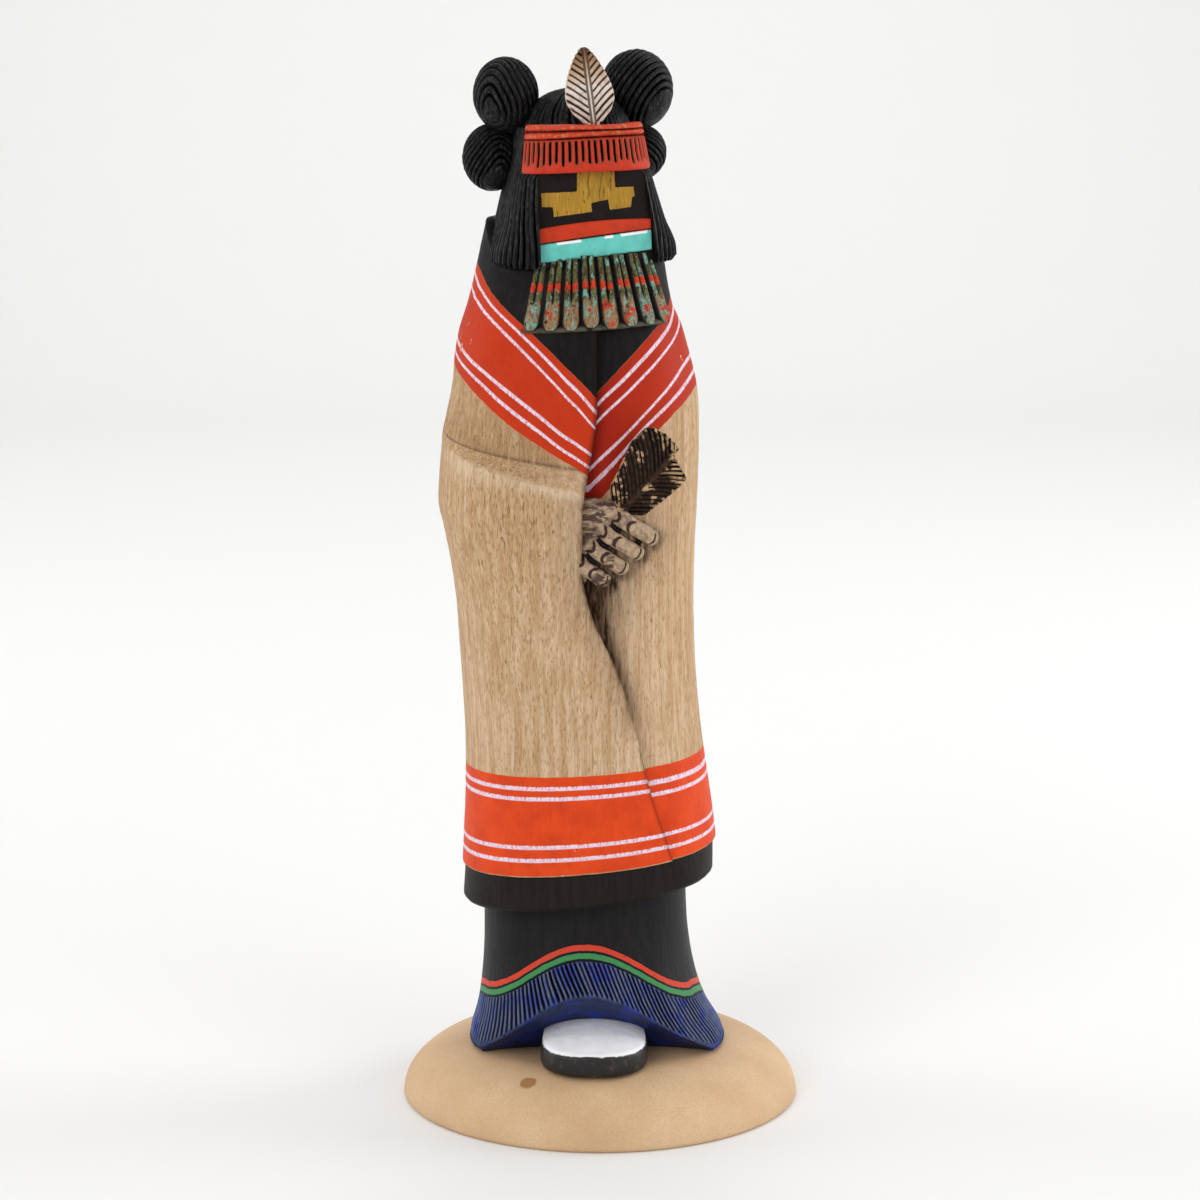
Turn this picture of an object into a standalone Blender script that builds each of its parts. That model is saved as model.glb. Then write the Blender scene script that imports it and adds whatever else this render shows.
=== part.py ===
# A carved wooden doll in a wrapped robe, standing on a turned disc.
# Metres, +Z up. The origin is the middle of the disc's underside and the doll faces -Y.
# The carving is drawn in its own units, HEIGHT_UNITS of them from its sole to the top of its hair whorls,
# so that its pose and its proportions are shares of FIGURE_HEIGHT.

import math

import bmesh
import bpy
from mathutils import Matrix, Vector

# Driving dimensions
BASE_DIAMETER = 0.0889
BASE_THICKNESS = 0.0127
BASE_EDGE_RUN = 0.019        # from the rim to where the top is flat
BASE_FOOT_CHAMFER = 0.0006
FIGURE_HEIGHT = 0.2209       # sole to the top of the hair whorls
PIECE_GAP = 0.0003           # between the figure and the disc
HEAD_FEATHER_LENGTH = 0.0159     # what shows above the headband
HEAD_FEATHER_WIDTH = 0.0112
HAND_FEATHER_LENGTH = 0.0178     # what shows above the fist
HAND_FEATHER_WIDTH = 0.0146
FEATHER_THICKNESS = 0.0016
TENON_WIDTH = 0.0026         # the foot of each feather, let into the figure
TENON_LENGTH = 0.0036
SLOT_CLEARANCE = 0.0003      # on every side of a tenon

HEIGHT_UNITS = 220.9
UNIT = FIGURE_HEIGHT / HEIGHT_UNITS
FIGURE_FLOOR = BASE_THICKNESS + PIECE_GAP

# The body and the head are both turned a little to the viewer's right
TURN = math.radians(12)
HEAD_ROLL = math.radians(2)
BODY_AXIS = Vector((-5.0, 0.0, 0.0))
HEAD_CENTRE = Vector((-4.9, -0.5, 190.0))

# Robe: height, reach to the left, right, front and back
ROBE = [
    (33, -31.6, 25.9, 26.0, 24.5), (43, -30.9, 26.0, 25.8, 24.2), (55, -30.3, 24.6, 25.4, 23.8),
    (66, -29.9, 23.0, 24.9, 23.2), (78, -30.3, 21.7, 24.4, 22.6), (91, -31.1, 20.9, 24.1, 22.3),
    (105, -32.2, 20.7, 24.0, 22.3), (115, -34.0, 21.0, 24.0, 22.3), (123, -35.5, 21.4, 24.0, 22.2),
    (130, -35.7, 21.6, 23.8, 22.0), (138, -34.5, 21.8, 23.3, 21.6), (148, -32.4, 21.2, 22.6, 20.8),
    (156, -31.6, 19.3, 21.6, 19.6), (162, -30.3, 17.5, 20.6, 18.4), (169, -27.9, 14.7, 18.8, 16.8),
    (175, -25.6, 13.3, 17.4, 15.4), (185, -23.9, 12.0, 16.5, 14.4)]
# The edge of the left front, which laps over the right: height, side position, how far it stands proud
LAP = [
    (33, 18.5, 0.0), (46, 14.9, 0.9), (59, 10.8, 1.4), (70, 8.0, 2.1), (80, 5.4, 3.0), (88, 2.8, 3.8),
    (96, 0.0, 4.6), (102, -2.6, 5.1), (107, -4.0, 5.5), (118, -4.2, 6.0), (127, -4.0, 6.0),
    (132, -3.2, 2.4), (136, -1.2, 1.2), (170, -1.0, 1.0), (185, -1.0, 0.6)]
SLEEVE_CREASE = (138.7, 132.0)   # height of the fold over the forearm, at the side and at the lap's edge
SLEEVE_BROW = (138.2, 127.3)     # the same for the forearm's front edge
ROBE_ROUND = 2.2
HEM_TILT = 0.11                  # the hem rises to the viewer's right
HEM_ROWS = [(36.1, 1.3), (36.8, 0.7), (43.6, 0.7), (44.2, 0.0)]   # height and how far it is set in
ROBE_ROWS = [50, 60, 71, 82, 92, 101, 110, 118, 123.5, "brow", "crease", 143, 149, 155, 161, 167]
COLLAR = (170.0, 184.5)          # height of the robe's top edge at the front and at the back

# Skirt: height, left, right, front, back
SKIRT = [
    (0, -29.6, 28.3, 27.8, 21.5), (3, -29.0, 27.2, 27.4, 21.2), (8, -27.6, 24.2, 26.6, 20.2),
    (14, -26.7, 21.9, 25.4, 19.2), (22, -26.1, 20.2, 22.6, 18.2), (30, -26.0, 19.4, 20.6, 17.4),
    (44, -26.0, 19.1, 19.6, 17.0)]
ARCH_HEIGHT = 15.0
ARCH_HALF_WIDTH = 27.0
HOLLOW_BACK = (-9.0, -13.5)      # where the hollow under the skirt meets the disc, in the middle and at its ends

# Head and hair, about the head's own centre: height, half width, back, front, the mask's left and right edges
HAIR = [
    (-15.0, 19.4, 13.0, 18.0, 11.6, 13.6), (-13.8, 20.4, 13.8, 18.6, 11.6, 13.6),
    (-11, 20.1, 14.2, 18.8, 11.6, 13.3), (-6, 18.0, 14.8, 18.8, 11.6, 12.9), (-2, 16.8, 15.0, 18.8, 11.6, 12.4),
    (4, 15.1, 15.0, 18.2, 11.3, 11.6), (7, 14.5, 14.8, 16.6, 9.0, 9.0), (14.5, 12.9, 13.4, 16.0, 7.0, 7.0)]
MASK_FRONT = 15.2
MASK_LEFT = 11.6
MASK_RIGHT = 11.9
HAIR_ROUND = 3.0                 # 2 would be an oval, more is squarer
HAIR_COLUMNS = 31
BAND_HALF_ANGLE = math.radians(56)
BEARD_HALF_ANGLE = math.radians(42)
CROWN_TOP = 22.4
WHORLS = [  # name, centre (right, front, up), half sizes, pole
    ("upper_left", (-14.7, -2.4, 21.4), (6.9, 7.8, 8.1), (-0.70, 0.45, -0.55)),
    ("upper_right", (14.4, -2.4, 21.4), (7.9, 8.2, 8.7), (0.70, 0.45, -0.55)),
    ("lower_left", (-17.9, -5.5, 7.6), (6.2, 6.8, 7.2), (-0.80, 0.30, 0.50)),
    ("lower_right", (15.8, -7.5, 7.4), (5.8, 6.4, 6.0), (0.80, 0.30, 0.50))]
WHORL_RIDGES = 7

FRINGE_FLUTES = 20
BEARD_LOBES = 8
FINGERS = [  # knuckle and finger end, index first
    ((4.9, -29.0, 122.2), (11.2, -28.4, 118.2)), ((2.0, -29.3, 118.9), (8.2, -28.8, 115.2)),
    ((-0.5, -29.3, 115.6), (4.9, -28.9, 112.0)), ((-3.0, -29.0, 112.4), (1.0, -28.6, 109.2))]
FINGER_RADIUS = 1.95


def clear_scene():
    for item in list(bpy.data.objects):
        bpy.data.objects.remove(item, do_unlink=True)


def make_collection(name):
    group = bpy.data.collections.new(name)
    bpy.context.scene.collection.children.link(group)
    return group


def make_material(name, colour, roughness):
    material = bpy.data.materials.new(name)
    material.use_nodes = True
    shader = material.node_tree.nodes["Principled BSDF"]
    shader.inputs["Base Color"].default_value = (*colour, 1.0)
    shader.inputs["Roughness"].default_value = roughness
    material.diffuse_color = (*colour, 1.0)
    return material


def read_curve(table, at):
    """A smooth curve through the rows of a table, read at one value of its first column."""
    if at <= table[0][0]:
        return table[0][1:]
    if at >= table[-1][0]:
        return table[-1][1:]
    right = next(index for index, row in enumerate(table) if row[0] > at)
    rows = [table[max(right - 2, 0)], table[right - 1], table[right], table[min(right + 1, len(table) - 1)]]
    span = rows[2][0] - rows[1][0]
    share = (at - rows[1][0]) / span
    values = []
    for before, start, end, after in zip(*[row[1:] for row in rows]):
        slope_in = (end - before) / max(rows[2][0] - rows[0][0], span) * span
        slope_out = (after - start) / max(rows[3][0] - rows[1][0], span) * span
        cubic = (2 * start - 2 * end + slope_in + slope_out) * share ** 3
        square = (3 * end - 3 * start - 2 * slope_in - slope_out) * share ** 2
        values.append(cubic + square + slope_in * share + start)
    return values


def ease(value):
    """0 to 1 with a soft start and end."""
    value = min(max(value, 0.0), 1.0)
    return value * value * (3 - 2 * value)


def power(value, exponent):
    return math.copysign(abs(value) ** exponent, value)


def figure_point(x, y, height):
    """A point of the carving, from its own units to metres."""
    return Vector((x * UNIT, y * UNIT, FIGURE_FLOOR + height * UNIT))


def head_point(right, front, up):
    """A point given about the head's centre, turned and rolled with the head."""
    turned = Matrix.Rotation(TURN, 3, "Z") @ Matrix.Rotation(-HEAD_ROLL, 3, "Y")
    place = HEAD_CENTRE + turned @ Vector((right, -front, up))
    return figure_point(*place)


def body_point(angle, radius, height):
    """A point given by its angle from the body's front, its distance from the body's axis and its height."""
    direction = angle + TURN
    x = BODY_AXIS.x + radius * math.sin(direction)
    y = BODY_AXIS.y - radius * math.cos(direction)
    return figure_point(x, y, height)


def add_object(name, bm, group, material=None):
    bmesh.ops.recalc_face_normals(bm, faces=bm.faces)
    mesh = bpy.data.meshes.new(name)
    bm.to_mesh(mesh)
    bm.free()
    item = bpy.data.objects.new(name, mesh)
    group.objects.link(item)
    if material:
        mesh.materials.append(material)
    return item


def loft(name, rings, group, fan=False, ears=()):
    """Skin a stack of equal closed rings and close its ends, with a flat face or a fan about the middle.

    The ring's numbered corners in ears jut out round a bend, so a fan leaves them to triangles of their own.
    """
    bm = bmesh.new()
    rows = [[bm.verts.new(point) for point in ring] for ring in rings]
    count = len(rings[0])
    for lower, upper in zip(rows, rows[1:]):
        for i in range(count):
            j = (i + 1) % count
            bm.faces.new((lower[i], lower[j], upper[j], upper[i]))
    for row in (rows[0], rows[-1]):
        if fan:
            middle = bm.verts.new(sum((vert.co for vert in row), Vector()) / count)
            for i in ears:
                bm.faces.new((row[i - 1], row[i], row[(i + 1) % count]))
            rim = [vert for i, vert in enumerate(row) if i not in ears]
            for i, vert in enumerate(rim):
                bm.faces.new((vert, rim[(i + 1) % len(rim)], middle))
        else:
            bm.faces.new(row)
    bmesh.ops.triangulate(bm, faces=bm.faces)
    return add_object(name, bm, group)


def robe_lap_angle(height):
    """The angle, from -Y, at which the lap's edge crosses the robe at this height."""
    left, right = read_curve(ROBE, height)[:2]
    across = (read_curve(LAP, height)[0] - (left + right) / 2) / ((right - left) / 2)
    return math.asin(power(across, ROBE_ROUND / 2))


def robe_shape(angle, height, proud, inset):
    left, right, front, back = read_curve(ROBE, height)
    reach = front if math.cos(angle) > 0 else back
    x = (left + right) / 2 + (right - left) / 2 * power(math.sin(angle), 2 / ROBE_ROUND)
    y = -reach * power(math.cos(angle), 2 / ROBE_ROUND)
    outward = proud - inset
    return x + outward * math.sin(angle), y - outward * math.cos(angle)


def sleeve_fall(share):
    """How the sleeve's proudness falls off, from the lap's edge (0) to the side (1)."""
    return 1 - ease(share) if share < 1 else 0.0


def robe_ring(row, inset=0.0):
    """One level ring of the robe. The first half runs from the back to the lap's edge, the rest to the back."""
    points = []
    left_columns, right_columns = 26, 21
    nominal = {"brow": 128.0, "crease": 133.5}.get(row, row)
    lap_angle = robe_lap_angle(nominal)
    for column in range(left_columns + right_columns):
        on_left = column < left_columns
        if on_left:
            share = column / (left_columns - 1)
            angle = -math.pi + (lap_angle + math.pi) * share
        else:
            share = (column - left_columns) / right_columns
            angle = lap_angle + math.radians(0.8) + (math.pi - lap_angle - math.radians(0.8)) * share
        to_side = min(max((lap_angle - angle) / (lap_angle + math.pi / 2), 0.0), 1.0)
        height = nominal
        if row in ("brow", "crease") and angle < lap_angle + 0.1 and angle > -math.pi:
            fold = SLEEVE_BROW if row == "brow" else SLEEVE_CREASE
            behind = ease((-math.pi / 2 - angle) / 0.9)
            height = fold[1] + (fold[0] - fold[1]) * to_side ** 0.8
            height += (nominal - height) * behind
        proud = 0.0
        if on_left:
            step = read_curve(LAP, 127.0 if row == "brow" else nominal)[1]
            if row == "crease":
                step = 1.2
            proud = step * sleeve_fall(to_side)
        else:
            across = (angle - lap_angle) * 24
            depth = 1.2 if 90 < nominal < 165 else 0.3
            proud = -depth * math.exp(-(across / 3.5) ** 2)
        x, y = robe_shape(angle, height, proud, inset)
        height += HEM_TILT * (x + 2.7) * max(0.0, 1 - (height - 36) / 70)
        points.append(figure_point(x, y, height))
    return points


def collar_ring(inset):
    points = []
    for x, y, z in robe_ring(178.0, inset):
        backward = ease((y / UNIT + 14) / 16)
        points.append(Vector((x, y, FIGURE_FLOOR + (COLLAR[0] + (COLLAR[1] - COLLAR[0]) * backward) * UNIT)))
    return points


def make_robe(group):
    rings = [robe_ring(height, inset) for height, inset in HEM_ROWS]
    rings += [robe_ring(row) for row in ROBE_ROWS]
    rings += [collar_ring(0.0), collar_ring(1.4)]
    return loft("robe", rings, group, fan=True)


def arch_height(x):
    share = min(abs(x + 0.8) / ARCH_HALF_WIDTH, 1.0)
    return ARCH_HEIGHT * (1 - share ** 2) ** 1.15


def skirt_point(angle, height):
    left, right, front, back = read_curve(SKIRT, height)
    reach = front if math.cos(angle) > 0 else back
    x = (left + right) / 2 + (right - left) / 2 * power(math.sin(angle), 2 / 2.3)
    return x, -reach * power(math.cos(angle), 2 / 2.3)


def make_skirt(group):
    """The skirt flares to an arched front edge, under which the wood is hollowed back to the disc."""
    columns = 44
    outer_shares = [0.0, 0.12, 0.3, 0.5, 0.75, 1.0]
    hollow_shares = [1.0, 0.7, 0.35, 0.06]
    rings = [[] for _ in range(len(outer_shares) + len(hollow_shares))]
    top = 42.0
    for column in range(columns):
        angle = 2 * math.pi * column / columns
        in_front = math.cos(angle) > 0.3
        foot_x, foot_y = skirt_point(angle, 0)
        edge = arch_height(foot_x) if in_front else 0.0
        edge += 0.5
        edge_x, edge_y = skirt_point(angle, edge)
        inner_x = foot_x * 0.97
        to_end = min(abs(foot_x) / ARCH_HALF_WIDTH, 1.0)
        inner_y = max(foot_y * 0.97, HOLLOW_BACK[0] + (HOLLOW_BACK[1] - HOLLOW_BACK[0]) * to_end ** 3)
        for level, share in enumerate(hollow_shares):
            sag = 1.6 * math.sin(math.pi * share) * edge / ARCH_HEIGHT
            reach = 1 - share
            x = inner_x + (edge_x - inner_x) * reach
            y = inner_y + (edge_y - inner_y) * reach + sag
            rings[level].append(figure_point(x, y, edge * reach))
        for level, share in enumerate(outer_shares):
            height = edge + 0.6 + (top - edge) * share
            x, y = skirt_point(angle, height)
            rings[len(hollow_shares) + level].append(figure_point(x, y, height))
    return loft("skirt", rings, group)


def make_shoe(group):
    """A flat sole with a blunt round toe, and a vamp that rises back under the skirt."""
    middle = Vector((-1.3, -19.0))
    half_width, length = 11.8, 13.4
    rings = []
    levels = [(0.0, 0.96, 0.0), (0.7, 1.0, 0.0), (3.4, 1.0, 0.0), (4.0, 0.96, 0.0)]
    levels += [(4.0, share, math.sqrt(1 - share ** 2)) for share in (0.93, 0.84, 0.66, 0.4)]
    for height, scale, dome in levels:
        ring = []
        for step in range(20):
            angle = 2 * math.pi * step / 20
            x = middle.x + half_width * scale * power(math.sin(angle), 2 / 2.6)
            y = middle.y - length * scale * power(math.cos(angle), 2 / 2.6)
            rise = dome * (2.6 + 0.22 * (y + 32))
            ring.append(figure_point(x, y, height + rise))
        rings.append(ring)
    return loft("shoe", rings, group)


def oval_reach(direction, half_width, front, back, roundness):
    """How far a squared oval reaches in a direction, which is 0 to the front."""
    side = abs(math.sin(direction)) / half_width
    ahead = abs(math.cos(direction)) / (front if math.cos(direction) > 0 else back)
    return (side ** roundness + ahead ** roundness) ** (-1 / roundness)


def make_head(group):
    """The mask's face, with the hair hanging past it on both sides and round the back."""
    rings = []
    for up, half_width, back, front, left, right in HAIR:
        ring = []
        for step in range(9):
            across = -left + (left + right) * step / 8
            ring.append((across, MASK_FRONT - 0.9 * (across / MASK_LEFT) ** 2))
        edges = []
        for edge in (right + 0.3, left + 0.3):
            edges.append(math.atan2(edge, front * (1 - (edge / half_width) ** HAIR_ROUND) ** (1 / HAIR_ROUND)))
        for step in range(HAIR_COLUMNS):
            direction = edges[0] + (2 * math.pi - edges[0] - edges[1]) * step / (HAIR_COLUMNS - 1)
            groove = 0.45 if step % 2 and 2 < step < HAIR_COLUMNS - 3 else 0.0
            reach = oval_reach(direction, half_width, front, back, HAIR_ROUND) - groove
            ring.append((reach * math.sin(direction), reach * math.cos(direction)))
        rings.append([head_point(right, front, up) for right, front in ring])
    return loft("head", rings, group, fan=True, ears=(9, len(rings[0]) - 1))


def make_crown(group):
    """The hair combed down from the crown, in shallow locks."""
    columns = 28
    rings = []
    for share in (1.0, 0.93, 0.78, 0.52, 0.2):
        ring = []
        for column in range(columns):
            angle = 2 * math.pi * column / columns
            lock = 1.0 if column % 2 else 0.955
            ring.append(head_point(12.2 * share * lock * math.sin(angle), 12.6 * share * lock * math.cos(angle) - 0.5,
                                   CROWN_TOP - 9.5 + 9.5 * math.sqrt(max(1 - share ** 2, 0)) * lock))
        rings.append(ring)
    floor = [head_point(11 * math.sin(2 * math.pi * c / columns), 11 * math.cos(2 * math.pi * c / columns), 9)
             for c in range(columns)]
    return loft("crown", [floor] + rings, group)


def make_headband(group):
    """Two cords over a fluted fringe, bowed round the brow."""
    rows = [  # up, half width, front, fluted
        (5.3, 14.8, 18.2, 1), (12.0, 14.0, 17.4, 1), (12.5, 13.6, 16.8, 0),
        (13.2, 13.7, 17.5, 0), (13.9, 13.4, 16.9, 0), (14.6, 13.4, 17.3, 0), (15.2, 13.0, 16.5, 0)]
    stations = 2 * FRINGE_FLUTES + 1
    rings = []
    for station in range(stations):
        direction = BAND_HALF_ANGLE * (2 * station / (stations - 1) - 1)
        ring = []
        for up, half_width, front, fluted in rows:
            groove = 0.7 if fluted and station % 2 else 0.0
            reach = oval_reach(direction, half_width, front, front, HAIR_ROUND) - groove
            ring.append((reach, up))
        ring += [(ring[-1][0] - 3.0, 14.8), (ring[0][0] - 3.0, 5.6)]
        rings.append([head_point(reach * math.sin(direction), reach * math.cos(direction),
                                 up + 0.5 * math.sin(direction) ** 2) for reach, up in ring])
    return loft("headband", rings, group)


def make_mask_bar(group, name, lower, upper, proud):
    """A raised bar across the mask. Each edge is given by its heights at the left, middle and right."""
    rings = []
    for step in range(9):
        across = -MASK_LEFT - 0.6 + (MASK_LEFT + MASK_RIGHT + 1.8) * step / 8
        share = step / 8
        low = lower[0] + (lower[2] - lower[0]) * share + lower[1] * 4 * share * (1 - share)
        high = upper[0] + (upper[2] - upper[0]) * share + upper[1] * 4 * share * (1 - share)
        face = MASK_FRONT + proud - 0.9 * (across / MASK_LEFT) ** 2
        rings.append([head_point(across, face - 2.5, low), head_point(across, face, low),
                      head_point(across, face, high), head_point(across, face - 2.5, high)])
    return loft(name, rings, group)


def make_beard(group):
    """A fan of feathers that lies on the chest, each one ending in a rounded lobe."""
    rows = [(178.2, 13.2, 0.0), (176.3, 17.4, 0.3), (170, 20.6, 0.5), (165.4, 22.7, 0.7), (163.6, 22.8, 0.7),
            (162.9, 21.8, 0.4)]
    rings = []
    for column in range(3 * BEARD_LOBES + 1):
        share = column / (3 * BEARD_LOBES)
        angle = BEARD_HALF_ANGLE * (2 * share - 1)
        lobe = 0.0 if column % 3 else 1.0
        ring = [(radius - depth * lobe, height) for height, radius, depth in rows]
        ring += [(12.4, 163.5), (12.4, 177.2)]
        rings.append([body_point(angle, radius, height + 1.3 * math.sin(angle) +
                                 (0.8 * abs(angle) if height < 166 else 0.0)) for radius, height in ring])
    return loft("beard", rings, group)


def make_rod(name, start, end, radius, flat, group):
    """A rod with rounded ends, a little flatter from front to back."""
    start, end = Vector(start), Vector(end)
    along = (end - start).normalized()
    side = along.cross(Vector((0, 1, 0))).normalized()
    depth = along.cross(side)
    rings = []
    for travel, size in ((-0.8, 0.6), (-0.2, 0.96), (1.0, 1.0)):
        rings.append((start + along * radius * travel, size))
    for travel, size in ((-0.8, 0.98), (0.3, 0.72)):
        rings.append((end + along * radius * travel, size))
    points = []
    for middle, size in rings:
        ring = []
        for step in range(8):
            angle = 2 * math.pi * (step + 0.5) / 8
            spot = middle + (side * math.cos(angle) + depth * math.sin(angle) * flat) * radius * size
            ring.append(figure_point(*spot))
        points.append(ring)
    return loft(name, points, group)


def make_palm(group):
    """The back of the hand, from inside the sleeve to the row of knuckles."""
    outline = [(-7.5, 125.6), (-2, 126.4), (2.4, 126.0), (5.0, 124.0), (5.8, 121.0), (-1.9, 110.2), (-3.4, 108.0),
               (-7.5, 109.6)]
    rings = []
    for y, grow in ((-19.0, 0.0), (-26.9, 0.0), (-28.2, -0.9), (-28.6, -2.2)):
        middle = Vector((-2.0, 117.4))
        ring = []
        for x, height in outline:
            spot = Vector((x, height)) - middle
            spot = middle + spot * (1 + grow / spot.length)
            ring.append(figure_point(spot.x, y - 0.12 * (spot.x + 2), spot.y))
        rings.append(ring)
    return loft("palm", rings, group)


def make_whorl(name, centre, sizes, pole, group):
    """One lobe of combed hair: an egg with ridges that run round its pole."""
    pole = Vector(pole).normalized()
    side = pole.cross(Vector((0, 0, 1))).normalized()
    other = pole.cross(side)
    rings = []
    count = 2 * WHORL_RIDGES + 1
    for level in range(1, count):
        polar = math.pi * level / count
        ring = []
        groove = 0.955 if level % 2 else 1.0
        for step in range(12):
            turn = 2 * math.pi * step / 12
            spot = pole * math.cos(polar) + (side * math.cos(turn) + other * math.sin(turn)) * math.sin(polar)
            right, front, up = (value * size * groove for value, size in zip(spot, sizes))
            ring.append(head_point(centre[0] + right, centre[1] + front, centre[2] + up))
        rings.append(ring)
    return loft(name, rings, group)


def add_boolean(item, operation, collection):
    modifier = item.modifiers.new(operation.title(), "BOOLEAN")
    modifier.operation = operation
    modifier.solver = "EXACT"
    modifier.operand_type = "COLLECTION"
    modifier.collection = collection


def make_base(group, material):
    """The disc: a profile with a quarter-ellipse edge, turned about Z."""
    radius = BASE_DIAMETER / 2
    profile = [(0.0, BASE_THICKNESS)]
    for step in range(9):
        angle = math.pi / 2 * step / 8
        profile.append((radius - BASE_EDGE_RUN + BASE_EDGE_RUN * math.sin(angle),
                        BASE_FOOT_CHAMFER + (BASE_THICKNESS - BASE_FOOT_CHAMFER) * math.cos(angle)))
    profile += [(radius - BASE_FOOT_CHAMFER, 0.0), (0.0, 0.0)]
    mesh = bpy.data.meshes.new("base")
    edges = [(i, i + 1) for i in range(len(profile) - 1)]
    mesh.from_pydata([(r, 0.0, z) for r, z in profile], edges, [])
    mesh.materials.append(material)
    base = bpy.data.objects.new("base", mesh)
    group.objects.link(base)
    screw = base.modifiers.new("Turn", "SCREW")
    screw.axis = "Z"
    screw.steps = screw.render_steps = 40
    screw.use_merge_vertices = True
    screw.merge_threshold = 0.00001
    return base


def feather_frame(foot, along, face):
    """A feather's own axes: X across it, Y out of its face, Z along its quill."""
    quill = Vector(along).normalized()
    across = quill.cross(Vector(face)).normalized()
    outward = across.cross(quill)
    frame = Matrix((across, outward, quill)).transposed().to_4x4()
    frame.translation = foot
    return frame


def make_feather(name, outline, frame, group, material):
    """A flat feather from its outline, with its tenon below, thickened about its middle."""
    half = TENON_WIDTH / 2
    points = [(-half, -TENON_LENGTH), (half, -TENON_LENGTH)] + [(half, -0.0002)] + outline + [(-half, -0.0002)]
    bm = bmesh.new()
    face = bm.faces.new([bm.verts.new((x, -FEATHER_THICKNESS / 2, z)) for x, z in points])
    pushed = bmesh.ops.extrude_face_region(bm, geom=[face])
    for vert in (item for item in pushed["geom"] if isinstance(item, bmesh.types.BMVert)):
        vert.co.y += FEATHER_THICKNESS
    feather = add_object(name, bm, group, material)
    feather.matrix_world = frame
    return feather


def make_slot(name, frame, group):
    """The slot that a feather's tenon stands in, with clearance all round."""
    bpy.ops.mesh.primitive_cube_add(size=1)
    slot = bpy.context.object
    slot.name = name
    depth = TENON_LENGTH + SLOT_CLEARANCE
    slot.scale = (TENON_WIDTH + 2 * SLOT_CLEARANCE, FEATHER_THICKNESS + 2 * SLOT_CLEARANCE, 2 * depth)
    for owner in list(slot.users_collection):
        owner.objects.unlink(slot)
    group.objects.link(slot)
    slot.matrix_world = frame @ Matrix.Diagonal((*slot.scale, 1.0))
    return slot


def head_feather_outline():
    """A pointed oval, a little fuller on its left."""
    shares = [(0.04, 0.55), (0.12, 0.86), (0.3, 1.0), (0.48, 0.94), (0.66, 0.72), (0.84, 0.36), (0.95, 0.14)]
    half = HEAD_FEATHER_WIDTH / 2
    right = [(half * width, HEAD_FEATHER_LENGTH * up) for up, width in shares]
    left = [(-half * width, HEAD_FEATHER_LENGTH * (up + 0.04 * math.sin(math.pi * up))) for up, width in shares]
    return right + [(0.0, HEAD_FEATHER_LENGTH)] + left[::-1]


def hand_feather_outline():
    """A broad fan with a slanting square end."""
    shares = [(0.29, 0.12), (0.33, 0.28), (0.40, 0.68), (0.40, 0.79), (0.36, 0.82), (-0.36, 1.0), (-0.48, 0.985),
              (-0.58, 0.91), (-0.60, 0.67), (-0.49, 0.40), (-0.375, 0.087), (-0.23, 0.0)]
    return [(HAND_FEATHER_WIDTH * across, HAND_FEATHER_LENGTH * along) for across, along in shares]


def build():
    clear_scene()
    parts = make_collection("carved_doll")
    masses = make_collection("carved_masses")
    cutters = make_collection("slots")
    wood = make_material("cottonwood", (0.58, 0.38, 0.21), 0.6)
    disc_wood = make_material("disc_wood", (0.61, 0.38, 0.20), 0.5)
    pale = make_material("pale_feather", (0.75, 0.60, 0.50), 0.6)
    dark = make_material("burnt_feather", (0.05, 0.035, 0.025), 0.6)

    make_base(parts, disc_wood)

    figure = make_robe(parts)
    figure.name = figure.data.name = "figure"
    figure.data.materials.append(wood)
    make_skirt(masses)
    make_shoe(masses)
    make_head(masses)
    make_crown(masses)
    make_headband(masses)
    make_mask_bar(masses, "upper_bar", (-9.8, 0.2, -6.9), (-6.6, 0.7, -5.0), 0.6)
    make_mask_bar(masses, "lower_bar", (-14.2, -0.1, -11.2), (-11.0, 0.0, -7.8), 0.6)
    make_beard(masses)
    make_palm(masses)
    for number, (start, end) in enumerate(FINGERS):
        make_rod("finger_%d" % (number + 1), start, end, FINGER_RADIUS, 1.1, masses)
    for name, centre, sizes, pole in WHORLS:
        make_whorl(name, centre, sizes, pole, masses)
    add_boolean(figure, "UNION", masses)

    head_frame = feather_frame(head_point(1.15, 13.7, 15.4), (-0.135, 0.0, 1.0), (math.sin(TURN), -math.cos(TURN), 0))
    make_feather("head_feather", head_feather_outline(), head_frame, parts, pale)
    make_slot("head_slot", head_frame, cutters)
    hand_turn = math.radians(15)
    hand_frame = feather_frame(figure_point(4.8, -27.4, 124.2), (0.68, 0.18, 0.73),
                               (math.sin(hand_turn), -math.cos(hand_turn), 0))
    make_feather("hand_feather", hand_feather_outline(), hand_frame, parts, dark)
    make_slot("hand_slot", hand_frame, cutters)
    add_boolean(figure, "DIFFERENCE", cutters)

    for item in list(masses.objects) + list(cutters.objects):
        item.hide_render = True
        item.display_type = "WIRE"


build()
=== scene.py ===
import math

import bmesh
import bpy
import numpy as np
from mathutils import Matrix, Vector
from mathutils.geometry import tessellate_polygon


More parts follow.
